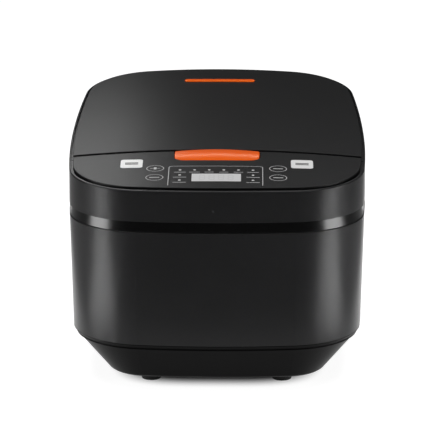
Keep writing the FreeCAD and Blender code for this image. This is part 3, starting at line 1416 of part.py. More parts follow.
def chimney(margin, z_low, z_high):
    """Round-ended prism of the vent passage, grown by a margin."""
    grow = 2 * margin
    inner = 2 * VENT_PASSAGE_INSET
    return stadium(VENT_LENGTH - inner + grow, VENT_WIDTH - inner + grow, z_low, z_high, VENT_Y)


def lid_frame():
    """Rim and skin of the lid, with its hinge barrel, screw bosses and vent chimney."""
    behind = UPPER_BLOCK.cut(front_of_seam(SEAM_FRAME_GAP / 2))
    lid = behind.common(slab(-OVER, LID_Z, 2 * TOP_Z))
    ceiling = under_top(CAVITY_DROP)
    cavity = slab(WALL + RIM_LEAN, LID_Z - OVER, 2 * TOP_Z).common(ceiling)
    cavity = cavity.cut(front_of_seam(SEAM_FRAME_GAP / 2 + WALL))
    half = hinge_half()
    hinge_block = box((-half, half), (HINGE_BLOCK_Y, REAR_Y), (LID_Z, HINGE_Z + HINGE_RELIEF + HINGE_WEB))
    hinge_block = hinge_block.common(slab(RIM_LEAN, LID_Z, 2 * TOP_Z))
    bosses = [upright(x, y, LID_BOSS_R, LINER_Z + LINER_THICKNESS, 2 * TOP_Z) for x, y in lid_boss_places()]
    ducts = [chimney(RUN_GAP + CHIMNEY_WALL, CHIMNEY_Z, 2 * TOP_Z)]
    hanging = [piece.common(under_top(POCKET_DROP + POCKET_SKIN / 2)) for piece in bosses + ducts]
    relief = box((-half, half), (HINGE_Y, REAR_Y + OVER), (LID_Z - OVER, HINGE_Z + HINGE_RELIEF))
    lid = fused([lid.cut(cavity), hinge_block] + hanging)
    lid = lid.cut([relief, panel_recess(behind_seam())])
    barrel = across(HINGE_Y, HINGE_Z, BARREL_R, -half, half).common(slab(RIM_LEAN, RING_Z, TOP_Z))
    lid = fused([lid, barrel])
    cavity_half = HINGE_SPRING_HALF + OVER
    cuts = [
        across(HINGE_Y, HINGE_Z, HINGE_PIN_R + PIN_GAP, -HINGE_PIN_HALF - OVER, HINGE_PIN_HALF + OVER),
        across(HINGE_Y, HINGE_Z, HINGE_SPRING_CAVITY_R, -cavity_half, cavity_half),
        chimney(RUN_GAP, CHIMNEY_Z - OVER, 2 * TOP_Z),
        box(
            (-HINGE_SPRING_HALF - HINGE_SPRING_SLOT / 2, -HINGE_SPRING_HALF + HINGE_SPRING_SLOT / 2),
            (HINGE_Y - TROUGH_R, HINGE_Y + TROUGH_R),
            (HINGE_Z - TROUGH_R, HINGE_Z - HINGE_PIN_R),
        ),
    ]
    for side in SIDES:
        x_range = sorted((side * (LUG_INNER_X - 2 * RUN_GAP), side * (LUG_OUTER_X + 2 * RUN_GAP)))
        cuts.append(across(HINGE_Y, HINGE_Z, BARREL_R + FIT_GAP, *x_range))
    cuts += [
        upright(x, y, SCREW_R + PIN_GAP, LINER_Z, LINER_Z + LINER_THICKNESS + LID_SCREW_LENGTH)
        for x, y in lid_boss_places()
    ]
    screw_y = (LID_WALL_Y - WALL + FIT_GAP / 2, LID_WALL_Y + OVER)
    cuts += [catch_round(side, BOARD_SCREW_R + PIN_GAP, *screw_y) for side in SIDES]
    return lid.cut(cuts)


def behind_seam():
    """Space behind the seam, up to the lid's front face."""
    return slab(-OVER, 0, 2 * TOP_Z).cut(front_of_seam(SEAM_FRAME_GAP / 2))


def lid_panel():
    """Lid cover plate with an opening for the vent cap."""
    keep = slab(-OVER, 0, 2 * TOP_Z).cut(front_of_seam(SEAM_PANEL_GAP / 2))
    plate, hollow = panel_plate(keep)
    hollow = hollow.cut(front_of_seam(SEAM_PANEL_GAP / 2 + PANEL_SKIRT_WALL))
    grow = 2 * RUN_GAP
    opening = stadium(VENT_LENGTH + grow, VENT_WIDTH + grow, RING_Z, 2 * TOP_Z, VENT_Y)
    return plate.cut([hollow, opening])


def lid_liner():
    """Inside cover of the lid, with a round dish over the pot and a port for the vent."""
    flange = slab(WALL + RIM_LEAN + RUN_GAP, LINER_Z, LINER_Z + LINER_THICKNESS)
    flange = flange.cut(front_of_seam(SEAM_FRAME_GAP / 2 + WALL + RUN_GAP))
    flange = flange.cut(box((-WIDTH, WIDTH), (HINGE_BLOCK_Y - RUN_GAP, DEPTH), (0, TOP_Z)))
    flange = flange.cut(upright(0, POT_Y, DISH_R, LINER_Z - OVER, DISH_ROOF_Z))
    dish_outer = DISH_R + LINER_THICKNESS
    dish = turned([
        (0, DISH_ROOF_Z),
        (DISH_R, DISH_ROOF_Z),
        (DISH_R, LINER_Z),
        (dish_outer, LINER_Z),
        (dish_outer, DISH_TOP_Z, LINER_THICKNESS),
        (0, DISH_TOP_Z),
    ])
    boss = upright(0, POT_Y, LINER_BOSS_R, INNER_LID_TOP_Z, DISH_ROOF_Z + OVER)
    notch_half = CATCH_HALF + CATCH_SLOT_GAP
    cuts = [
        box((-notch_half, notch_half), (SEAM_Y, CATCH_REAR_Y + FIT_GAP), (RING_Z, TOP_Z)),
        chimney(-VENT_PORT_MARGIN / 2, DISH_ROOF_Z - OVER, DISH_TOP_Z + OVER),
        upright(0, POT_Y, KNOB_STUD_R + PIN_GAP, INNER_LID_TOP_Z - OVER, DISH_TOP_Z + OVER),
        upright(LID_SENSOR_X, POT_Y, LID_SENSOR_R + PIN_GAP, DISH_ROOF_Z - OVER, DISH_TOP_Z + OVER),
    ]
    cuts += [upright(x, y, SCREW_R + FIT_GAP, LINER_Z - OVER, DISH_ROOF_Z) for x, y in lid_boss_places()]
    return fused([flange, dish, boss]).cut(cuts)


def lid_screws():
    """Screws through the liner into the lid frame."""
    length = LINER_THICKNESS + LID_SCREW_LENGTH - FIT_GAP
    head_height = LINER_Z - LID_Z
    return group(
        screw_up(x, y, LINER_Z, SCREW_R, length, SCREW_HEAD_R, head_height) for x, y in lid_boss_places()
    )


def inner_lid():
    """Removable metal disc over the pot, with a ring of steam holes."""
    disc = upright(0, POT_Y, SEAL_OUTER_R, INNER_LID_Z, INNER_LID_TOP_Z)
    low, high = INNER_LID_Z - OVER, INNER_LID_TOP_Z + OVER
    cuts = [upright(0, POT_Y, KNOB_STUD_R + FIT_GAP, low, high)]
    cuts.append(upright(LID_SENSOR_X, POT_Y, LID_SENSOR_R + RUN_GAP, low, high))
    for index in range(STEAM_HOLE_COUNT):
        x, y = polar(STEAM_HOLE_PITCH_R, index * 360 / STEAM_HOLE_COUNT)
        cuts.append(upright(x, y, STEAM_HOLE_R, low, high))
    return disc.cut(cuts)


def lid_seal():
    """Soft ring under the edge of the inner lid that closes on the pot flange."""
    inner_r = SEAL_OUTER_R - SEAL_WIDTH
    middle_r = SEAL_OUTER_R - SEAL_WIDTH / 2
    return turned([
        (inner_r, INNER_LID_Z),
        (inner_r, INNER_LID_Z - SEAL_OUTER_INSET - PIN_GAP),
        (middle_r, SEAL_Z),
        (SEAL_OUTER_R, SEAL_Z, SEAL_OUTER_INSET),
        (SEAL_OUTER_R, INNER_LID_Z),
    ])


def inner_lid_knob():
    """Knob whose stud holds the inner lid to the liner."""
    return turned([
        (0, INNER_LID_Z - KNOB_HEIGHT),
        (KNOB_R, INNER_LID_Z - KNOB_HEIGHT, KNOB_EDGE_R),
        (KNOB_R, INNER_LID_Z),
        (KNOB_STUD_R, INNER_LID_Z),
        (KNOB_STUD_R, DISH_TOP_Z),
        (0, DISH_TOP_Z),
    ])


def lid_heater():
    """Thin heater ring on top of the liner."""
    low, high = DISH_TOP_Z, DISH_TOP_Z + LID_HEATER_THICKNESS
    ring_face = upright(0, POT_Y, LID_HEATER_OUTER_R, low, high)
    return ring_face.cut(upright(0, POT_Y, LID_HEATER_INNER_R, low - OVER, high + OVER))


def lid_sensor():
    """Temperature probe through the liner and the inner lid."""
    probe = upright(LID_SENSOR_X, POT_Y, LID_SENSOR_R, INNER_LID_Z, DISH_TOP_Z)
    head = upright(LID_SENSOR_X, POT_Y, LID_SENSOR_HEAD_R, DISH_TOP_Z, DISH_TOP_Z + LID_SENSOR_HEAD)
    return fused([probe, head])


def vent_seal():
    """Soft ring between the liner port and the vent chimney."""
    outer = chimney(RUN_GAP + CHIMNEY_WALL, DISH_TOP_Z, CHIMNEY_Z)
    return outer.cut(chimney(RUN_GAP, DISH_TOP_Z - OVER, CHIMNEY_Z + OVER))


def vent_slot_places():
    """Places of the vent slots across the width."""
    half = (VENT_SLOT_COUNT - 1) / 2
    return [(index - half) * VENT_SLOT_PITCH for index in range(VENT_SLOT_COUNT)]


def vent_cap():
    """Raised round-ended vent cap with slots along its back edge."""
    cap = stadium(VENT_LENGTH, VENT_WIDTH, RING_Z, 2 * TOP_Z, VENT_Y).common(under_top(-VENT_RISE))
    crest = max(cap.Faces, key=lambda face: face.CenterOfMass.z)
    cap = cap.makeFillet(VENT_EDGE_R, crest.Edges).cut(under_top(POCKET_DROP))
    hollow = chimney(FIT_GAP, RING_Z, 2 * TOP_Z).common(under_top(VENT_CAP_TOP - VENT_RISE))
    slot_rear_y = VENT_Y + VENT_WIDTH / 2 - VENT_CAP_WALL
    slots = []
    for x in vent_slot_places():
        x_range = (x - VENT_SLOT_WIDTH / 2, x + VENT_SLOT_WIDTH / 2)
        slots.append(box(x_range, (slot_rear_y - VENT_SLOT_DEPTH, slot_rear_y), (RING_Z, 2 * TOP_Z)))
    return cap.cut([hollow] + slots)


def vent_tray():
    """Tray under the vent cap that catches starch, with drain holes."""
    low = CHIMNEY_Z + VENT_TRAY_LIFT
    tray = chimney(0, low, 2 * TOP_Z).common(under_top(VENT_CAP_TOP - VENT_RISE))
    hollow = chimney(-VENT_TRAY_WALL, low + VENT_TRAY_FLOOR, 2 * TOP_Z)
    drain_z = (low - OVER, low + VENT_TRAY_FLOOR + OVER)
    drains = [upright(x, VENT_Y, VENT_SLOT_WIDTH / 2, *drain_z) for x in vent_slot_places()]
    return tray.cut([hollow] + drains)


def pieces():
    """Every piece by its node name."""
    made = {
        "body_shell": body_shell(),
        "base_cover": base_cover(),
        "rubber_feet": rubber_feet(),
        "base_screws": base_screws(),
        "support_posts": support_posts(),
        "trim_band": trim_band(),
        "upper_housing": upper_housing(),
        "hinge_pin": hinge_pin(),
        "hinge_spring": hinge_spring(),
        "control_panel": control_panel(),
        "display_window": display_window(),
        "display_module": display_module(),
        "indicator_lights": indicator_lights(),
        "control_board": control_board(),
        "board_screws": board_screws(),
        "tact_switches": tact_switches(),
        "label_plates": label_plates(),
        "release_button": release_button(),
        "button_springs": button_springs(),
        "latch_lever": latch_lever(),
        "latch_pin": latch_pin(),
        "latch_spring": latch_spring(),
        "lid_catch": lid_catch(),
        "catch_screws": catch_screws(),
        "inner_pot": inner_pot(),
        "inner_shell": inner_shell(),
        "shell_screws": shell_screws(),
        "heating_plate": heating_plate(),
        "heater_terminals": heater_terminals(),
        "side_heater": side_heater(),
        "thermal_fuse": thermal_fuse(),
        "sensor_bracket": sensor_bracket(),
        "sensor_cap": sensor_cap(),
        "sensor_spring": sensor_spring(),
        "power_board": power_board(),
        "power_relay": board_part(RELAY_SIZE, RELAY_PLACE),
        "power_transformer": board_part(TRANSFORMER_SIZE, TRANSFORMER_PLACE),
        "filter_capacitor": filter_capacitor(),
        "power_inlet": power_inlet(),
        "inlet_pins": inlet_pins(),
        "lid_frame": lid_frame(),
        "lid_panel": lid_panel(),
        "lid_liner": lid_liner(),
        "lid_screws": lid_screws(),
        "inner_lid": inner_lid(),
        "lid_seal": lid_seal(),
        "inner_lid_knob": inner_lid_knob(),
        "lid_heater": lid_heater(),
        "lid_sensor": lid_sensor(),
        "vent_seal": vent_seal(),
        "vent_cap": vent_cap(),
        "vent_tray": vent_tray(),
    }
    for name, (x, y) in key_places().items():
        made[name] = key_cap(x, y)
    return made


os.makedirs("parts", exist_ok=True)
for node, shape in pieces().items():
    shape.exportStep("parts/%s.step" % node)
    print("%-18s solids %d valid %s volume %.0f" % (node, len(shape.Solids), shape.isValid(), shape.Volume))
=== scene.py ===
import json
import math

import bpy
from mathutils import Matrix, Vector


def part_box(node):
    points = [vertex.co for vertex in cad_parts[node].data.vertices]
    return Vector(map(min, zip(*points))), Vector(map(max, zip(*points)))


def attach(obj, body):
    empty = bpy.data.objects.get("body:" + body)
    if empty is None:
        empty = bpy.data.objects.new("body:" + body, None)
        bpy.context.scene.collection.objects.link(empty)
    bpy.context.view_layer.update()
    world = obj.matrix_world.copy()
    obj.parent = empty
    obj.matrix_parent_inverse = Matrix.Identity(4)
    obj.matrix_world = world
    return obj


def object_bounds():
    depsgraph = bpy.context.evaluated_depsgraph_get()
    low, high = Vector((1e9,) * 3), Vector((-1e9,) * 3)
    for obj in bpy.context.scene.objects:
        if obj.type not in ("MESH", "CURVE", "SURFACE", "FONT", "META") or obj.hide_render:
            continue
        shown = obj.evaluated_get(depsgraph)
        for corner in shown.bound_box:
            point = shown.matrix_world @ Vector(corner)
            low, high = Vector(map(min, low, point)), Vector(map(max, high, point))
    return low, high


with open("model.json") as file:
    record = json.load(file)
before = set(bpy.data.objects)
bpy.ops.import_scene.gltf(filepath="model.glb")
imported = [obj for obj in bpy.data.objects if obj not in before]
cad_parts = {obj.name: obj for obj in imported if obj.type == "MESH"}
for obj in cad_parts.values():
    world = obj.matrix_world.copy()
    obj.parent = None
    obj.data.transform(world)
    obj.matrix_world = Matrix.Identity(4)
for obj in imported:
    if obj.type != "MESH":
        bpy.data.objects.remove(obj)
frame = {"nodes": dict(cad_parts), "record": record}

CAD_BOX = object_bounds()
MM = 0.001

# Crowned, sloping top of the cooker, in millimetres, as the panels have it
TOP_Z = 211.9
TOP_SLOPE = math.radians(4.88)
HALF_WIDTH = 138.0
CROWN_RISE = 2.9
CROWN_R = (HALF_WIDTH ** 2 + CROWN_RISE ** 2) / (2 * CROWN_RISE)
UP_SLOPE = Vector((0, math.cos(TOP_SLOPE), math.sin(TOP_SLOPE)))
TOP_NORMAL = Vector((0, -math.sin(TOP_SLOPE), math.cos(TOP_SLOPE)))

# Printed marks on the control panel, in millimetres, with rows measured back from the middle of the display
INK_LIFT = 0.06
INK_STEP = 2.0
RING_WIDTH = 0.6
RING_STEPS = 64
LINE_WIDTH = 0.6
BRACKET_LEFT_X = -43.4
BRACKET_RIGHT_X = 42.0
BRACKET_REAR = 29.9
BRACKET_FRONT = -20.8
BRACKET_CORNER_R = 3.5
BRACKET_CORNER_STEPS = 8
LIGHT_PITCH = 13.3
LIGHT_ROWS = (20.0, 6.7, -6.7)
CAPTION_DROP = 6.2
CAPTION_HEIGHT = 0.9
CAPTION_WIDTHS = (10.4, 9.6, 8.2, 8.2, 8.4, 10.4)
SIDE_CAPTION_WIDTH = 12.0
KEY_FACE_R = 8.0
FACE_BAND = 0.2
KEY_BAR_WIDTH = 9.0
KEY_BAR_HEIGHT = 1.5
PLUS_WIDTH = 2.4
PLUS_HEIGHT = 5.4
DIGIT_COUNT = 4
DIGIT_WIDTH = 4.6
DIGIT_HEIGHT = 11.0
DIGIT_PITCH = 8.6
DIGIT_STROKE = 0.9
BADGE_X = 78.0
BADGE_MARK_WIDTH = 12.0
BADGE_MARK_HEIGHT = 4.0
BADGE_MARK_GAP = 1.6
BADGE_LIFT = 0.36

# Camera, in metres and degrees
AIM_X = -0.0026
AIM_FROM_FRONT = 0.1458
AIM_Z = 0.1329
AIM = Vector((AIM_X, CAD_BOX[0].y + AIM_FROM_FRONT, AIM_Z))
AZIMUTH = 0.75
ELEVATION = 15.73
DISTANCE = 2.893
LENS = 256.4
SENSOR = 36.0

# Floor, in metres: white under the cooker and behind it, grey towards the camera; round the cooker its glow
# is held back, a painted contact shadow on top of the real one
FLOOR_REACH = 6.0
FLOOR_FRONT_Y = -0.33
WHITE_SHADE = 0.56
GLOW = 0.86
# Painted shadow: the glow is zero over the cooker's footprint and rises to full just outside its edge
PAINTED_SHADOW_FADE_START = 0.82
PAINTED_SHADOW_FADE_END = 1.05
GLOW_SIDE = 0.27
GLOW_SIDE_FADE = 0.06
GLOW_FLARE = 0.07
PAINTED_SHADOW_HALF = (0.101, 0.142)
PAINTED_SHADOW_SQUARENESS = 4.0

# Lamps, in metres, watts and degrees
OVERHEAD_PLACE = (0, -0.2, 2.2)
OVERHEAD_AIM = (0, 0, 0.1)
OVERHEAD_SIZE = (2.0, 1.6)
OVERHEAD_POWER = 32.0
SOFTBOX_PLACE = (0.80, -0.34, 0.20)
SOFTBOX_AIM = (0, -0.02, 0.16)
SOFTBOX_SIZE = (0.42, 0.3)
SOFTBOX_POWER = 1.5
SOFTBOX_SPREAD = 110
FLOOR_LAMP_CORNER = (0.11, -0.12)
FLOOR_LAMP_BEARING = 63.5
FLOOR_LAMP_DISTANCE = 0.44
FLOOR_LAMP_HEIGHT = 0.16
FLOOR_LAMP_SIZE = (0.5, 0.2)
FLOOR_LAMP_POWER = 4.3
FLOOR_LAMP_SPREAD = 30
REAR_LAMP_PLACE = (-0.25, 0.50, 0.53)
REAR_LAMP_AIM = (-0.05, -0.05, 0.2)
REAR_LAMP_SIZE = (0.3, 0.08)
REAR_LAMP_POWER = 0.38
REAR_STRIP_PLACE = (0, 0.75, 0.96)
REAR_STRIP_AIM = (0, -0.08, 0.2)
REAR_STRIP_SIZE = (0.9, 0.12)
REAR_STRIP_POWER = 1.2
FULL_SPREAD = 180
WORLD_STRENGTH = 0.07

# Noise that varies every surface: a slow mottle in the colour and a fine grain in the gloss and bump
MOTTLE_SCALE = 18.0
MOTTLE_DETAIL = 3.0
MOTTLE_LOW = 0.3
MOTTLE_HIGH = 0.7
GRAIN_DETAIL = 2.0
GRAIN_HEIGHT = 0.0002

# Black mouldings
BODY_LOOK = dict(colour=(0.0115, 0.0115, 0.012), roughness=0.28, grain=2600, bump=0.06, specular=0.2)
# Base: the same black plastic as the body, made darker and less glossy as painted shade
BASE_SHADED_LOOK = dict(colour=(0.002, 0.002, 0.0021), roughness=0.32, grain=2600, bump=0.08, specular=0.025)
PANEL_LOOK = dict(colour=(0.005, 0.005, 0.0053), roughness=0.34, grain=3000, bump=0.08, specular=0.2)
BAND_LOOK = dict(colour=(0.0008, 0.0008, 0.0009), roughness=0.22, grain=900, bump=0.01, specular=0.38)
LINER_LOOK = dict(colour=(0.03, 0.03, 0.032), roughness=0.4, grain=2400, bump=0.1)
INLET_LOOK = dict(colour=(0.015, 0.015, 0.015), roughness=0.5, grain=2200, bump=0.12)

# Coloured and pale mouldings
ORANGE_LOOK = dict(
    colour=(0.96, 0.118, 0.003), roughness=0.24, grain=2000, bump=0.06, mottle=0.04, specular=0.9,
    gloss_tint=(1.0, 0.46, 0.03),
)
WINDOW_LOOK = dict(
    colour=(0.76, 0.76, 0.76), roughness=0.3, grain=1200, bump=0.01, mottle=0.03,
    coat=0.5, coat_roughness=0.05,
)
LIGHT_LOOK = dict(colour=(0.75, 0.75, 0.74), roughness=0.35, grain=1500, bump=0.02, mottle=0.04)
LABEL_LOOK = dict(colour=(0.88, 0.88, 0.87), roughness=0.32, grain=1500, bump=0.02, mottle=0.02)
LATCH_LOOK = dict(colour=(0.7, 0.7, 0.68), roughness=0.4, grain=2000, bump=0.05)

# Rubber
FOOT_LOOK = dict(colour=(0.012, 0.012, 0.012), roughness=0.75, grain=1400, bump=0.25, specular=0.3)
SEAL_LOOK = dict(colour=(0.5, 0.5, 0.48), roughness=0.6, grain=1400, bump=0.1)

# Metals and the coated pot
POT_LOOK = dict(colour=(0.035, 0.035, 0.037), roughness=0.34, grain=3200, bump=0.2, mottle=0.2)
INNER_LID_LOOK = dict(colour=(0.68, 0.68, 0.69), roughness=0.3, grain=1800, bump=0.05, metallic=1.0)
CAST_LOOK = dict(colour=(0.5, 0.5, 0.51), roughness=0.5, grain=1200, bump=0.3, metallic=1.0)
SHEET_LOOK = dict(colour=(0.56, 0.56, 0.57), roughness=0.35, grain=1800, bump=0.05, metallic=1.0)
SPRING_LOOK = dict(colour=(0.5, 0.5, 0.52), roughness=0.25, grain=1800, bump=0.03, metallic=1.0)
SCREW_LOOK = dict(colour=(0.55, 0.55, 0.56), roughness=0.3, grain=1800, bump=0.05, metallic=1.0)
CONTACT_LOOK = dict(colour=(0.72, 0.56, 0.26), roughness=0.28, grain=1800, bump=0.03, metallic=1.0)

# Boards and the parts on them
BOARD_LOOK = dict(colour=(0.03, 0.16, 0.06), roughness=0.4, grain=700, bump=0.1)
COMPONENT_LOOK = dict(colour=(0.03, 0.03, 0.033), roughness=0.45, grain=1500, bump=0.1)

# Inks and the front floor
INK_LOOK = dict(colour=(0.56, 0.56, 0.56), roughness=0.5, grain=1500, bump=0.05, mottle=0.05)
FAINT_INK_LOOK = dict(colour=(0.62, 0.62, 0.62), roughness=0.4, grain=1500, bump=0.02, mottle=0.03)
DARK_INK_LOOK = dict(colour=(0.05, 0.05, 0.05), roughness=0.5, grain=1500, bump=0.05)
GREY_FLOOR_LOOK = dict(colour=(0.5, 0.5, 0.5), roughness=0.8, grain=300, bump=0.05, mottle=0.0)

LOOKS = {
    "body_plastic": BODY_LOOK,
    "base_plastic": BASE_SHADED_LOOK,
    "panel_plastic": PANEL_LOOK,
    "key_plastic": PANEL_LOOK,
    "band_plastic": BAND_LOOK,
    "liner_plastic": LINER_LOOK,
    "inlet_plastic": INLET_LOOK,
    "orange_plastic": ORANGE_LOOK,
    "window": WINDOW_LOOK,
    "light_plastic": LIGHT_LOOK,
    "label_plastic": LABEL_LOOK,
    "latch_plastic": LATCH_LOOK,
    "rubber": FOOT_LOOK,
    "seal_rubber": SEAL_LOOK,
    "pot_metal": POT_LOOK,
    "inner_lid_metal": INNER_LID_LOOK,
    "heater_metal": CAST_LOOK,
    "sheet_steel": SHEET_LOOK,
    "spring_steel": SPRING_LOOK,
    "screw_steel": SCREW_LOOK,
    "contact_metal": CONTACT_LOOK,
    "board_plastic": BOARD_LOOK,
    "part_plastic": COMPONENT_LOOK,
    "ink": INK_LOOK,
    "faint_ink": FAINT_INK_LOOK,
    "dark_ink": DARK_INK_LOOK,
    "grey_floor": GREY_FLOOR_LOOK,
}


def node_of(tree, kind, **settings):
    """Shader node of a kind, with its properties and input values set."""
    made = tree.nodes.new(kind)
    for name, value in settings.items():
        socket = made.inputs.get(name.replace("_", " "))
        if socket is not None:
            socket.default_value = value
        else:
            setattr(made, name, value)
    return made


def grained_material(
    name, colour, roughness, grain, bump, mottle=0.12, specular=0.5, metallic=0.0,
    gloss_tint=(1, 1, 1), coat=0.0, coat_roughness=0.03,
):
    """Surface whose colour, roughness and fine bump vary with noise on the object's own coordinates."""
    material = bpy.data.materials.new(name)
    material.use_nodes = True
    tree = material.node_tree
    shader = tree.nodes["Principled BSDF"]
    shader.inputs["Metallic"].default_value = metallic
    shader.inputs["Specular IOR Level"].default_value = specular
    shader.inputs["Specular Tint"].default_value = (*gloss_tint, 1)
    shader.inputs["Coat Weight"].default_value = coat
    shader.inputs["Coat Roughness"].default_value = coat_roughness
    place = node_of(tree, "ShaderNodeTexCoord")
    cloud = node_of(tree, "ShaderNodeTexNoise", Scale=MOTTLE_SCALE, Detail=MOTTLE_DETAIL)
    fine = node_of(tree, "ShaderNodeTexNoise", Scale=grain, Detail=GRAIN_DETAIL)
    tint = node_of(tree, "ShaderNodeValToRGB")
    low, high = tint.color_ramp.elements
    low.color = (*(channel * (1 - mottle) for channel in colour), 1)
    high.color = (*(min(1, channel * (1 + mottle)) for channel in colour), 1)
    low.position = MOTTLE_LOW
    high.position = MOTTLE_HIGH
    gloss = node_of(tree, "ShaderNodeMapRange")
    gloss.inputs["To Min"].default_value = roughness * (1 - mottle / 2)
    gloss.inputs["To Max"].default_value = roughness * (1 + mottle / 2)
    relief = node_of(tree, "ShaderNodeBump", Strength=bump, Distance=GRAIN_HEIGHT)
    link = tree.links.new
    link(place.outputs["Object"], cloud.inputs["Vector"])
    link(place.outputs["Object"], fine.inputs["Vector"])
    link(cloud.outputs["Fac"], tint.inputs["Fac"])
    link(tint.outputs["Color"], shader.inputs["Base Color"])
    link(fine.outputs["Fac"], gloss.inputs["Value"])
    link(gloss.outputs["Result"], shader.inputs["Roughness"])
    link(fine.outputs["Fac"], relief.inputs["Height"])
    link(relief.outputs["Normal"], shader.inputs["Normal"])
    return material


def make_materials():
    """Every material by name."""
    return {name: grained_material(name, **look) for name, look in LOOKS.items()}


def dress_nodes(materials):
    """Gives each CAD node the material of its slot."""
    for row in frame["record"]["subparts"]:
        mesh = frame["nodes"][row["node"]].data
        mesh.materials.clear()
        mesh.materials.append(materials[row["material_slot"]])


def on_top(x, y, lift):
    """Point in metres on the top surface, at a plan place in millimetres."""
    drop = CROWN_R - math.sqrt(CROWN_R ** 2 - x ** 2)
    run = y / math.cos(TOP_SLOPE)
    point = Vector((x, 0, TOP_Z)) + UP_SLOPE * run + TOP_NORMAL * (lift - drop)
    return point * MM


def printed(name, outlines, material, body, lift=INK_LIFT):
    """Thin printed mark made of plan outlines that lie on the top surface."""
    points = []
    faces = []
    for outline in outlines:
        faces.append(tuple(range(len(points), len(points) + len(outline))))
        points += [on_top(x, y, lift) for x, y in outline]
    mesh = bpy.data.meshes.new(name)
    mesh.from_pydata(points, [], faces)
    mesh.materials.append(material)
    mark = bpy.data.objects.new(name, mesh)
    bpy.context.scene.collection.objects.link(mark)
    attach(mark, body)
    return mark


def bar(x, y, width, height):
    """Outlines of a rectangle, in short steps along its width so that it follows the crown."""
    steps = max(1, round(width / INK_STEP))
    low_x = x - width / 2
    low_y = y - height / 2
    high_y = y + height / 2
    edges = [low_x + width * index / steps for index in range(steps + 1)]
    return [
        [(left, low_y), (right, low_y), (right, high_y), (left, high_y)]
        for left, right in zip(edges, edges[1:])
    ]


def ribbon(path, width):
    """Outlines of a band of constant width along a plan path."""
    sides = []
    for index, (x, y) in enumerate(path):
        before = path[max(index - 1, 0)]
        after = path[min(index + 1, len(path) - 1)]
        along = Vector((after[0] - before[0], after[1] - before[1])).normalized()
        offset = Vector((-along.y, along.x)) * width / 2
        sides.append(((x + offset.x, y + offset.y), (x - offset.x, y - offset.y)))
    return [[a[1], b[1], b[0], a[0]] for a, b in zip(sides, sides[1:])]


def circle(x, y, radius):
    """Closed plan path round a centre."""
    turns = [2 * math.pi * index / RING_STEPS for index in range(RING_STEPS + 1)]
    return [(x + radius * math.cos(turn), y + radius * math.sin(turn)) for turn in turns]


def annulus(x, y, radius, width):
    """Outlines of a flat ring inside a radius."""
    outer = circle(x, y, radius)
    inner = circle(x, y, radius - width)
    return [[a, b, d, c] for a, b, c, d in zip(outer, outer[1:], inner, inner[1:])]


def steps_between(start, end):
    """Points along a straight run, about one ink step apart."""
    length = math.dist(start, end)
    count = max(1, round(length / INK_STEP))
    return [
        (start[0] + (end[0] - start[0]) * index / count, start[1] + (end[1] - start[1]) * index / count)
        for index in range(count + 1)
    ]


def bracket_path():
    """Line up the left of the display, across behind it and down its right, with round corners."""
    radius = BRACKET_CORNER_R
    left = BRACKET_LEFT_X + radius
    right = BRACKET_RIGHT_X - radius
    front_y = DISPLAY_Y + BRACKET_FRONT
    rear_y = DISPLAY_Y + BRACKET_REAR
    rear = rear_y - radius
    path = steps_between((BRACKET_LEFT_X, front_y), (BRACKET_LEFT_X, rear))
    for centre_x, start in ((left, math.pi), (right, math.pi / 2)):
        for index in range(1, BRACKET_CORNER_STEPS):
            turn = start - math.pi / 2 * index / BRACKET_CORNER_STEPS
            path.append((centre_x + radius * math.cos(turn), rear + radius * math.sin(turn)))
        if centre_x == left:
            path += steps_between((left, rear_y), (right, rear_y))
    return path + steps_between((BRACKET_RIGHT_X, rear), (BRACKET_RIGHT_X, front_y))


def node_centre(node):
    """Plan centre of a CAD node, in millimetres."""
    low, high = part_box(node)
    return (low.x + high.x) / 2 / MM, (low.y + high.y) / 2 / MM


def is_in_top(point):
    """Whether a point in metres lies in the top surface."""
    return (point - on_top(point.x / MM, point.y / MM, 0)).length < FACE_BAND * MM


def face_centre(node):
    """Plan centre of the face of a CAD node that lies in the top surface, in millimetres."""
    holder = frame["nodes"][node]
    points = [holder.matrix_world @ vertex.co for vertex in holder.data.vertices]
    face = [point for point in points if is_in_top(point)]
    middles = []
    for axis in (0, 1):
        places = [point[axis] for point in face]
        middles.append((min(places) + max(places)) / 2 / MM)
    return middles


DISPLAY_Y = node_centre("display_window")[1]


def print_panel(materials):
    """Bracket round the display, and a ring and a mark on each key."""
    ink = materials["ink"]
    printed("panel_bracket", ribbon(bracket_path(), LINE_WIDTH), ink, "cooker")
    for side, end in (("left", "rear"), ("right", "rear"), ("left", "front"), ("right", "front")):
        node = "key_%s_%s" % (side, end)
        x, y = face_centre(node)
        body = "%s_%s_key" % (side, end)
        printed("ring_%s_%s" % (side, end), annulus(x, y, KEY_FACE_R, RING_WIDTH), ink, body)
        marks = bar(x, y, KEY_BAR_WIDTH, KEY_BAR_HEIGHT)
        if (side, end) == ("left", "rear"):
            marks = bar(x, y, PLUS_WIDTH, PLUS_HEIGHT) + bar(x, y, KEY_BAR_WIDTH, KEY_BAR_HEIGHT / 2)
        printed("mark_%s_%s" % (side, end), marks, ink, body)


def print_captions(materials):
    """Short bars under the indicator lights, in place of words."""
    outlines = []
    for index, width in enumerate(CAPTION_WIDTHS):
        x = (index - (len(CAPTION_WIDTHS) - 1) / 2) * LIGHT_PITCH
        outlines += bar(x, DISPLAY_Y + LIGHT_ROWS[0] - CAPTION_DROP, width, CAPTION_HEIGHT)
    edge = (len(CAPTION_WIDTHS) - 1) / 2 * LIGHT_PITCH
    for row in LIGHT_ROWS[1:]:
        y = DISPLAY_Y + row - CAPTION_DROP
        for side in (-1, 1):
            outlines += bar(side * edge, y, SIDE_CAPTION_WIDTH, CAPTION_HEIGHT)
    printed("light_captions", outlines, materials["ink"], "cooker")


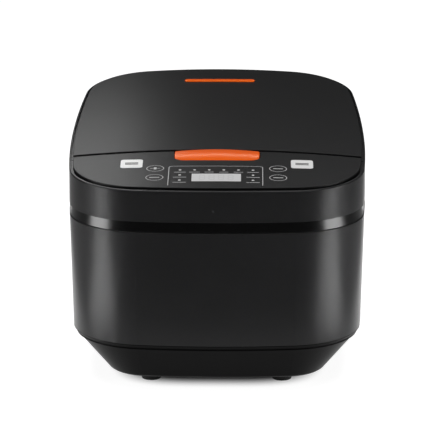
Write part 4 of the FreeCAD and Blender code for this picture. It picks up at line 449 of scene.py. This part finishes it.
def print_digits(materials):
    """Faint unlit digits behind the display face."""
    outlines = []
    for index in range(DIGIT_COUNT):
        x = (index - (DIGIT_COUNT - 1) / 2) * DIGIT_PITCH
        for level in (-1, 0, 1):
            outlines += bar(x, DISPLAY_Y + level * DIGIT_HEIGHT / 2, DIGIT_WIDTH, DIGIT_STROKE)
        for side in (-1, 1):
            for half in (-1, 1):
                y = DISPLAY_Y + half * DIGIT_HEIGHT / 4
                height = DIGIT_HEIGHT / 2 - 2 * DIGIT_STROKE
                outlines += bar(x + side * DIGIT_WIDTH / 2, y, DIGIT_STROKE, height)
    printed("display_digits", outlines, materials["faint_ink"], "cooker")


def print_badges(materials):
    """Two plain bars on each label plate."""
    middle_y = node_centre("label_plates")[1]
    for side, name in ((-1, "left"), (1, "right")):
        outlines = []
        for row in (-1, 1):
            y = middle_y + row * BADGE_MARK_GAP
            outlines += bar(side * BADGE_X, y, BADGE_MARK_WIDTH, BADGE_MARK_HEIGHT / 2)
        printed("badge_mark_%s" % name, outlines, materials["dark_ink"], "cooker", BADGE_LIFT)


def flat_sheet(name, corners):
    """Flat four-cornered object."""
    mesh = bpy.data.meshes.new(name)
    mesh.from_pydata(corners, [], [(0, 1, 2, 3)])
    sheet = bpy.data.objects.new(name, mesh)
    bpy.context.scene.collection.objects.link(sheet)
    return sheet


def plain_math(tree, operation, first, second):
    """Math node on two values or sockets."""
    made = node_of(tree, "ShaderNodeMath", operation=operation)
    for socket, value in zip(made.inputs, (first, second)):
        if isinstance(value, float):
            socket.default_value = value
        else:
            tree.links.new(value, socket)
    return made.outputs[0]


def smooth_range(tree, value, start, end, low, high):
    """Smooth step from one value to another."""
    made = node_of(tree, "ShaderNodeMapRange", interpolation_type="SMOOTHSTEP")
    tree.links.new(value, made.inputs["Value"])
    for name, number in (("From Min", start), ("From Max", end), ("To Min", low), ("To Max", high)):
        made.inputs[name].default_value = number
    return made.outputs["Result"]


def floor_glow_with_painted_shadow(tree):
    """Glow of the floor: none under the cooker and fading in just past its footprint, which paints a
    contact shadow; even round it, and none far out at the sides.
    """
    place = node_of(tree, "ShaderNodeNewGeometry")
    split = node_of(tree, "ShaderNodeSeparateXYZ")
    tree.links.new(place.outputs["Position"], split.inputs[0])
    sizes = [plain_math(tree, "ABSOLUTE", split.outputs[axis], 0.0) for axis in "XY"]
    powers = [
        plain_math(tree, "POWER", plain_math(tree, "DIVIDE", size, half), PAINTED_SHADOW_SQUARENESS)
        for size, half in zip(sizes, PAINTED_SHADOW_HALF)
    ]
    ratio = plain_math(tree, "POWER", plain_math(tree, "ADD", *powers), 1 / PAINTED_SHADOW_SQUARENESS)
    # painted shadow: no glow over the footprint, rising just past its edge
    glow_past_painted_shadow = smooth_range(tree, ratio, PAINTED_SHADOW_FADE_START, PAINTED_SHADOW_FADE_END, 0.0, GLOW)
    flare = plain_math(tree, "MULTIPLY", split.outputs["Y"], GLOW_FLARE)
    across = plain_math(tree, "SUBTRACT", sizes[0], flare)
    side = smooth_range(tree, across, GLOW_SIDE, GLOW_SIDE + GLOW_SIDE_FADE, 1.0, 0.0)
    return plain_math(tree, "MULTIPLY", glow_past_painted_shadow, side)


def white_floor_material():
    """White floor that keeps the real contact shadow, deepened by painted shadow where its glow is held
    back near the cooker, and reads as white further out, in reflections too.
    """
    material = bpy.data.materials.new("white_floor")
    material.use_nodes = True
    tree = material.node_tree
    tree.nodes.clear()
    path = node_of(tree, "ShaderNodeLightPath")
    seen = plain_math(tree, "MAXIMUM", path.outputs["Is Camera Ray"], path.outputs["Is Glossy Ray"])
    seen = plain_math(tree, "MAXIMUM", seen, path.outputs["Is Transmission Ray"])
    strength = plain_math(tree, "MULTIPLY", seen, floor_glow_with_painted_shadow(tree))
    diffuse = node_of(tree, "ShaderNodeBsdfDiffuse", Color=(WHITE_SHADE, WHITE_SHADE, WHITE_SHADE, 1))
    emission = node_of(tree, "ShaderNodeEmission")
    both = node_of(tree, "ShaderNodeAddShader")
    output = node_of(tree, "ShaderNodeOutputMaterial")
    tree.links.new(strength, emission.inputs["Strength"])
    tree.links.new(diffuse.outputs[0], both.inputs[0])
    tree.links.new(emission.outputs[0], both.inputs[1])
    tree.links.new(both.outputs[0], output.inputs["Surface"])
    return material


def build_stage(materials):
    """White floor, and a grey floor in front of it."""
    reach = FLOOR_REACH
    white = flat_sheet("floor", [
        (-reach, FLOOR_FRONT_Y, 0), (reach, FLOOR_FRONT_Y, 0), (reach, reach, 0), (-reach, reach, 0),
    ])
    white.data.materials.append(white_floor_material())
    grey = flat_sheet("front_floor", [
        (-reach, -reach, 0), (reach, -reach, 0), (reach, FLOOR_FRONT_Y, 0), (-reach, FLOOR_FRONT_Y, 0),
    ])
    grey.data.materials.append(materials["grey_floor"])


def area_light(name, place, aim, size, power, spread=FULL_SPREAD):
    """Soft rectangular lamp that faces a point, with a spread in degrees."""
    lamp = bpy.data.lights.new(name, "AREA")
    lamp.shape = "RECTANGLE"
    lamp.size, lamp.size_y = size
    lamp.energy = power
    lamp.spread = math.radians(spread)
    holder = bpy.data.objects.new(name, lamp)
    holder.location = place
    holder.rotation_mode = "QUATERNION"
    holder.rotation_quaternion = (Vector(aim) - Vector(place)).to_track_quat("-Z", "Y")
    bpy.context.scene.collection.objects.link(holder)
    return holder


def floor_lamp(side, name):
    """Low lamp that lights a strip of floor running out from a front corner of the cooker."""
    bearing = math.radians(FLOOR_LAMP_BEARING)
    along = Vector((side * math.sin(bearing), -math.cos(bearing), 0))
    corner = Vector((side * FLOOR_LAMP_CORNER[0], FLOOR_LAMP_CORNER[1], FLOOR_LAMP_HEIGHT))
    place = corner + along * FLOOR_LAMP_DISTANCE
    under = (place.x, place.y, 0)
    lamp = area_light(name, place, under, FLOOR_LAMP_SIZE, FLOOR_LAMP_POWER, FLOOR_LAMP_SPREAD)
    lamp.rotation_mode = "XYZ"
    lamp.rotation_euler = (0, 0, math.atan2(along.y, along.x))


def build_lights():
    """Overhead softbox, softboxes and floor lamps at each side, a left lamp and a wide strip behind."""
    area_light("overhead", OVERHEAD_PLACE, OVERHEAD_AIM, OVERHEAD_SIZE, OVERHEAD_POWER)
    for side, name in ((-1, "left"), (1, "right")):
        place = (side * SOFTBOX_PLACE[0], *SOFTBOX_PLACE[1:])
        area_light(name + "_softbox", place, SOFTBOX_AIM, SOFTBOX_SIZE, SOFTBOX_POWER, SOFTBOX_SPREAD)
        floor_lamp(side, name + "_floor_lamp")
    area_light("rear_left", REAR_LAMP_PLACE, REAR_LAMP_AIM, REAR_LAMP_SIZE, REAR_LAMP_POWER)
    area_light("rear_strip", REAR_STRIP_PLACE, REAR_STRIP_AIM, REAR_STRIP_SIZE, REAR_STRIP_POWER)


def build_world():
    """Dim even surroundings."""
    world = bpy.data.worlds.new("surroundings")
    world.use_nodes = True
    background = world.node_tree.nodes["Background"]
    background.inputs["Color"].default_value = (1, 1, 1, 1)
    background.inputs["Strength"].default_value = WORLD_STRENGTH
    bpy.context.scene.world = world


def build_camera():
    """Camera that looks down on the front."""
    azimuth = math.radians(AZIMUTH)
    elevation = math.radians(ELEVATION)
    back = Vector((
        math.sin(azimuth) * math.cos(elevation),
        -math.cos(azimuth) * math.cos(elevation),
        math.sin(elevation),
    ))
    lens = bpy.data.cameras.new("camera")
    lens.lens = LENS
    lens.sensor_width = SENSOR
    camera = bpy.data.objects.new("camera", lens)
    camera.location = AIM + back * DISTANCE
    camera.rotation_mode = "QUATERNION"
    camera.rotation_quaternion = (-back).to_track_quat("-Z", "Y")
    bpy.context.scene.collection.objects.link(camera)
    bpy.context.scene.camera = camera


MATERIALS = make_materials()
dress_nodes(MATERIALS)
print_panel(MATERIALS)
print_captions(MATERIALS)
print_digits(MATERIALS)
print_badges(MATERIALS)
build_stage(MATERIALS)
build_lights()
build_world()
build_camera()
bpy.context.scene.view_settings.view_transform = "Standard"
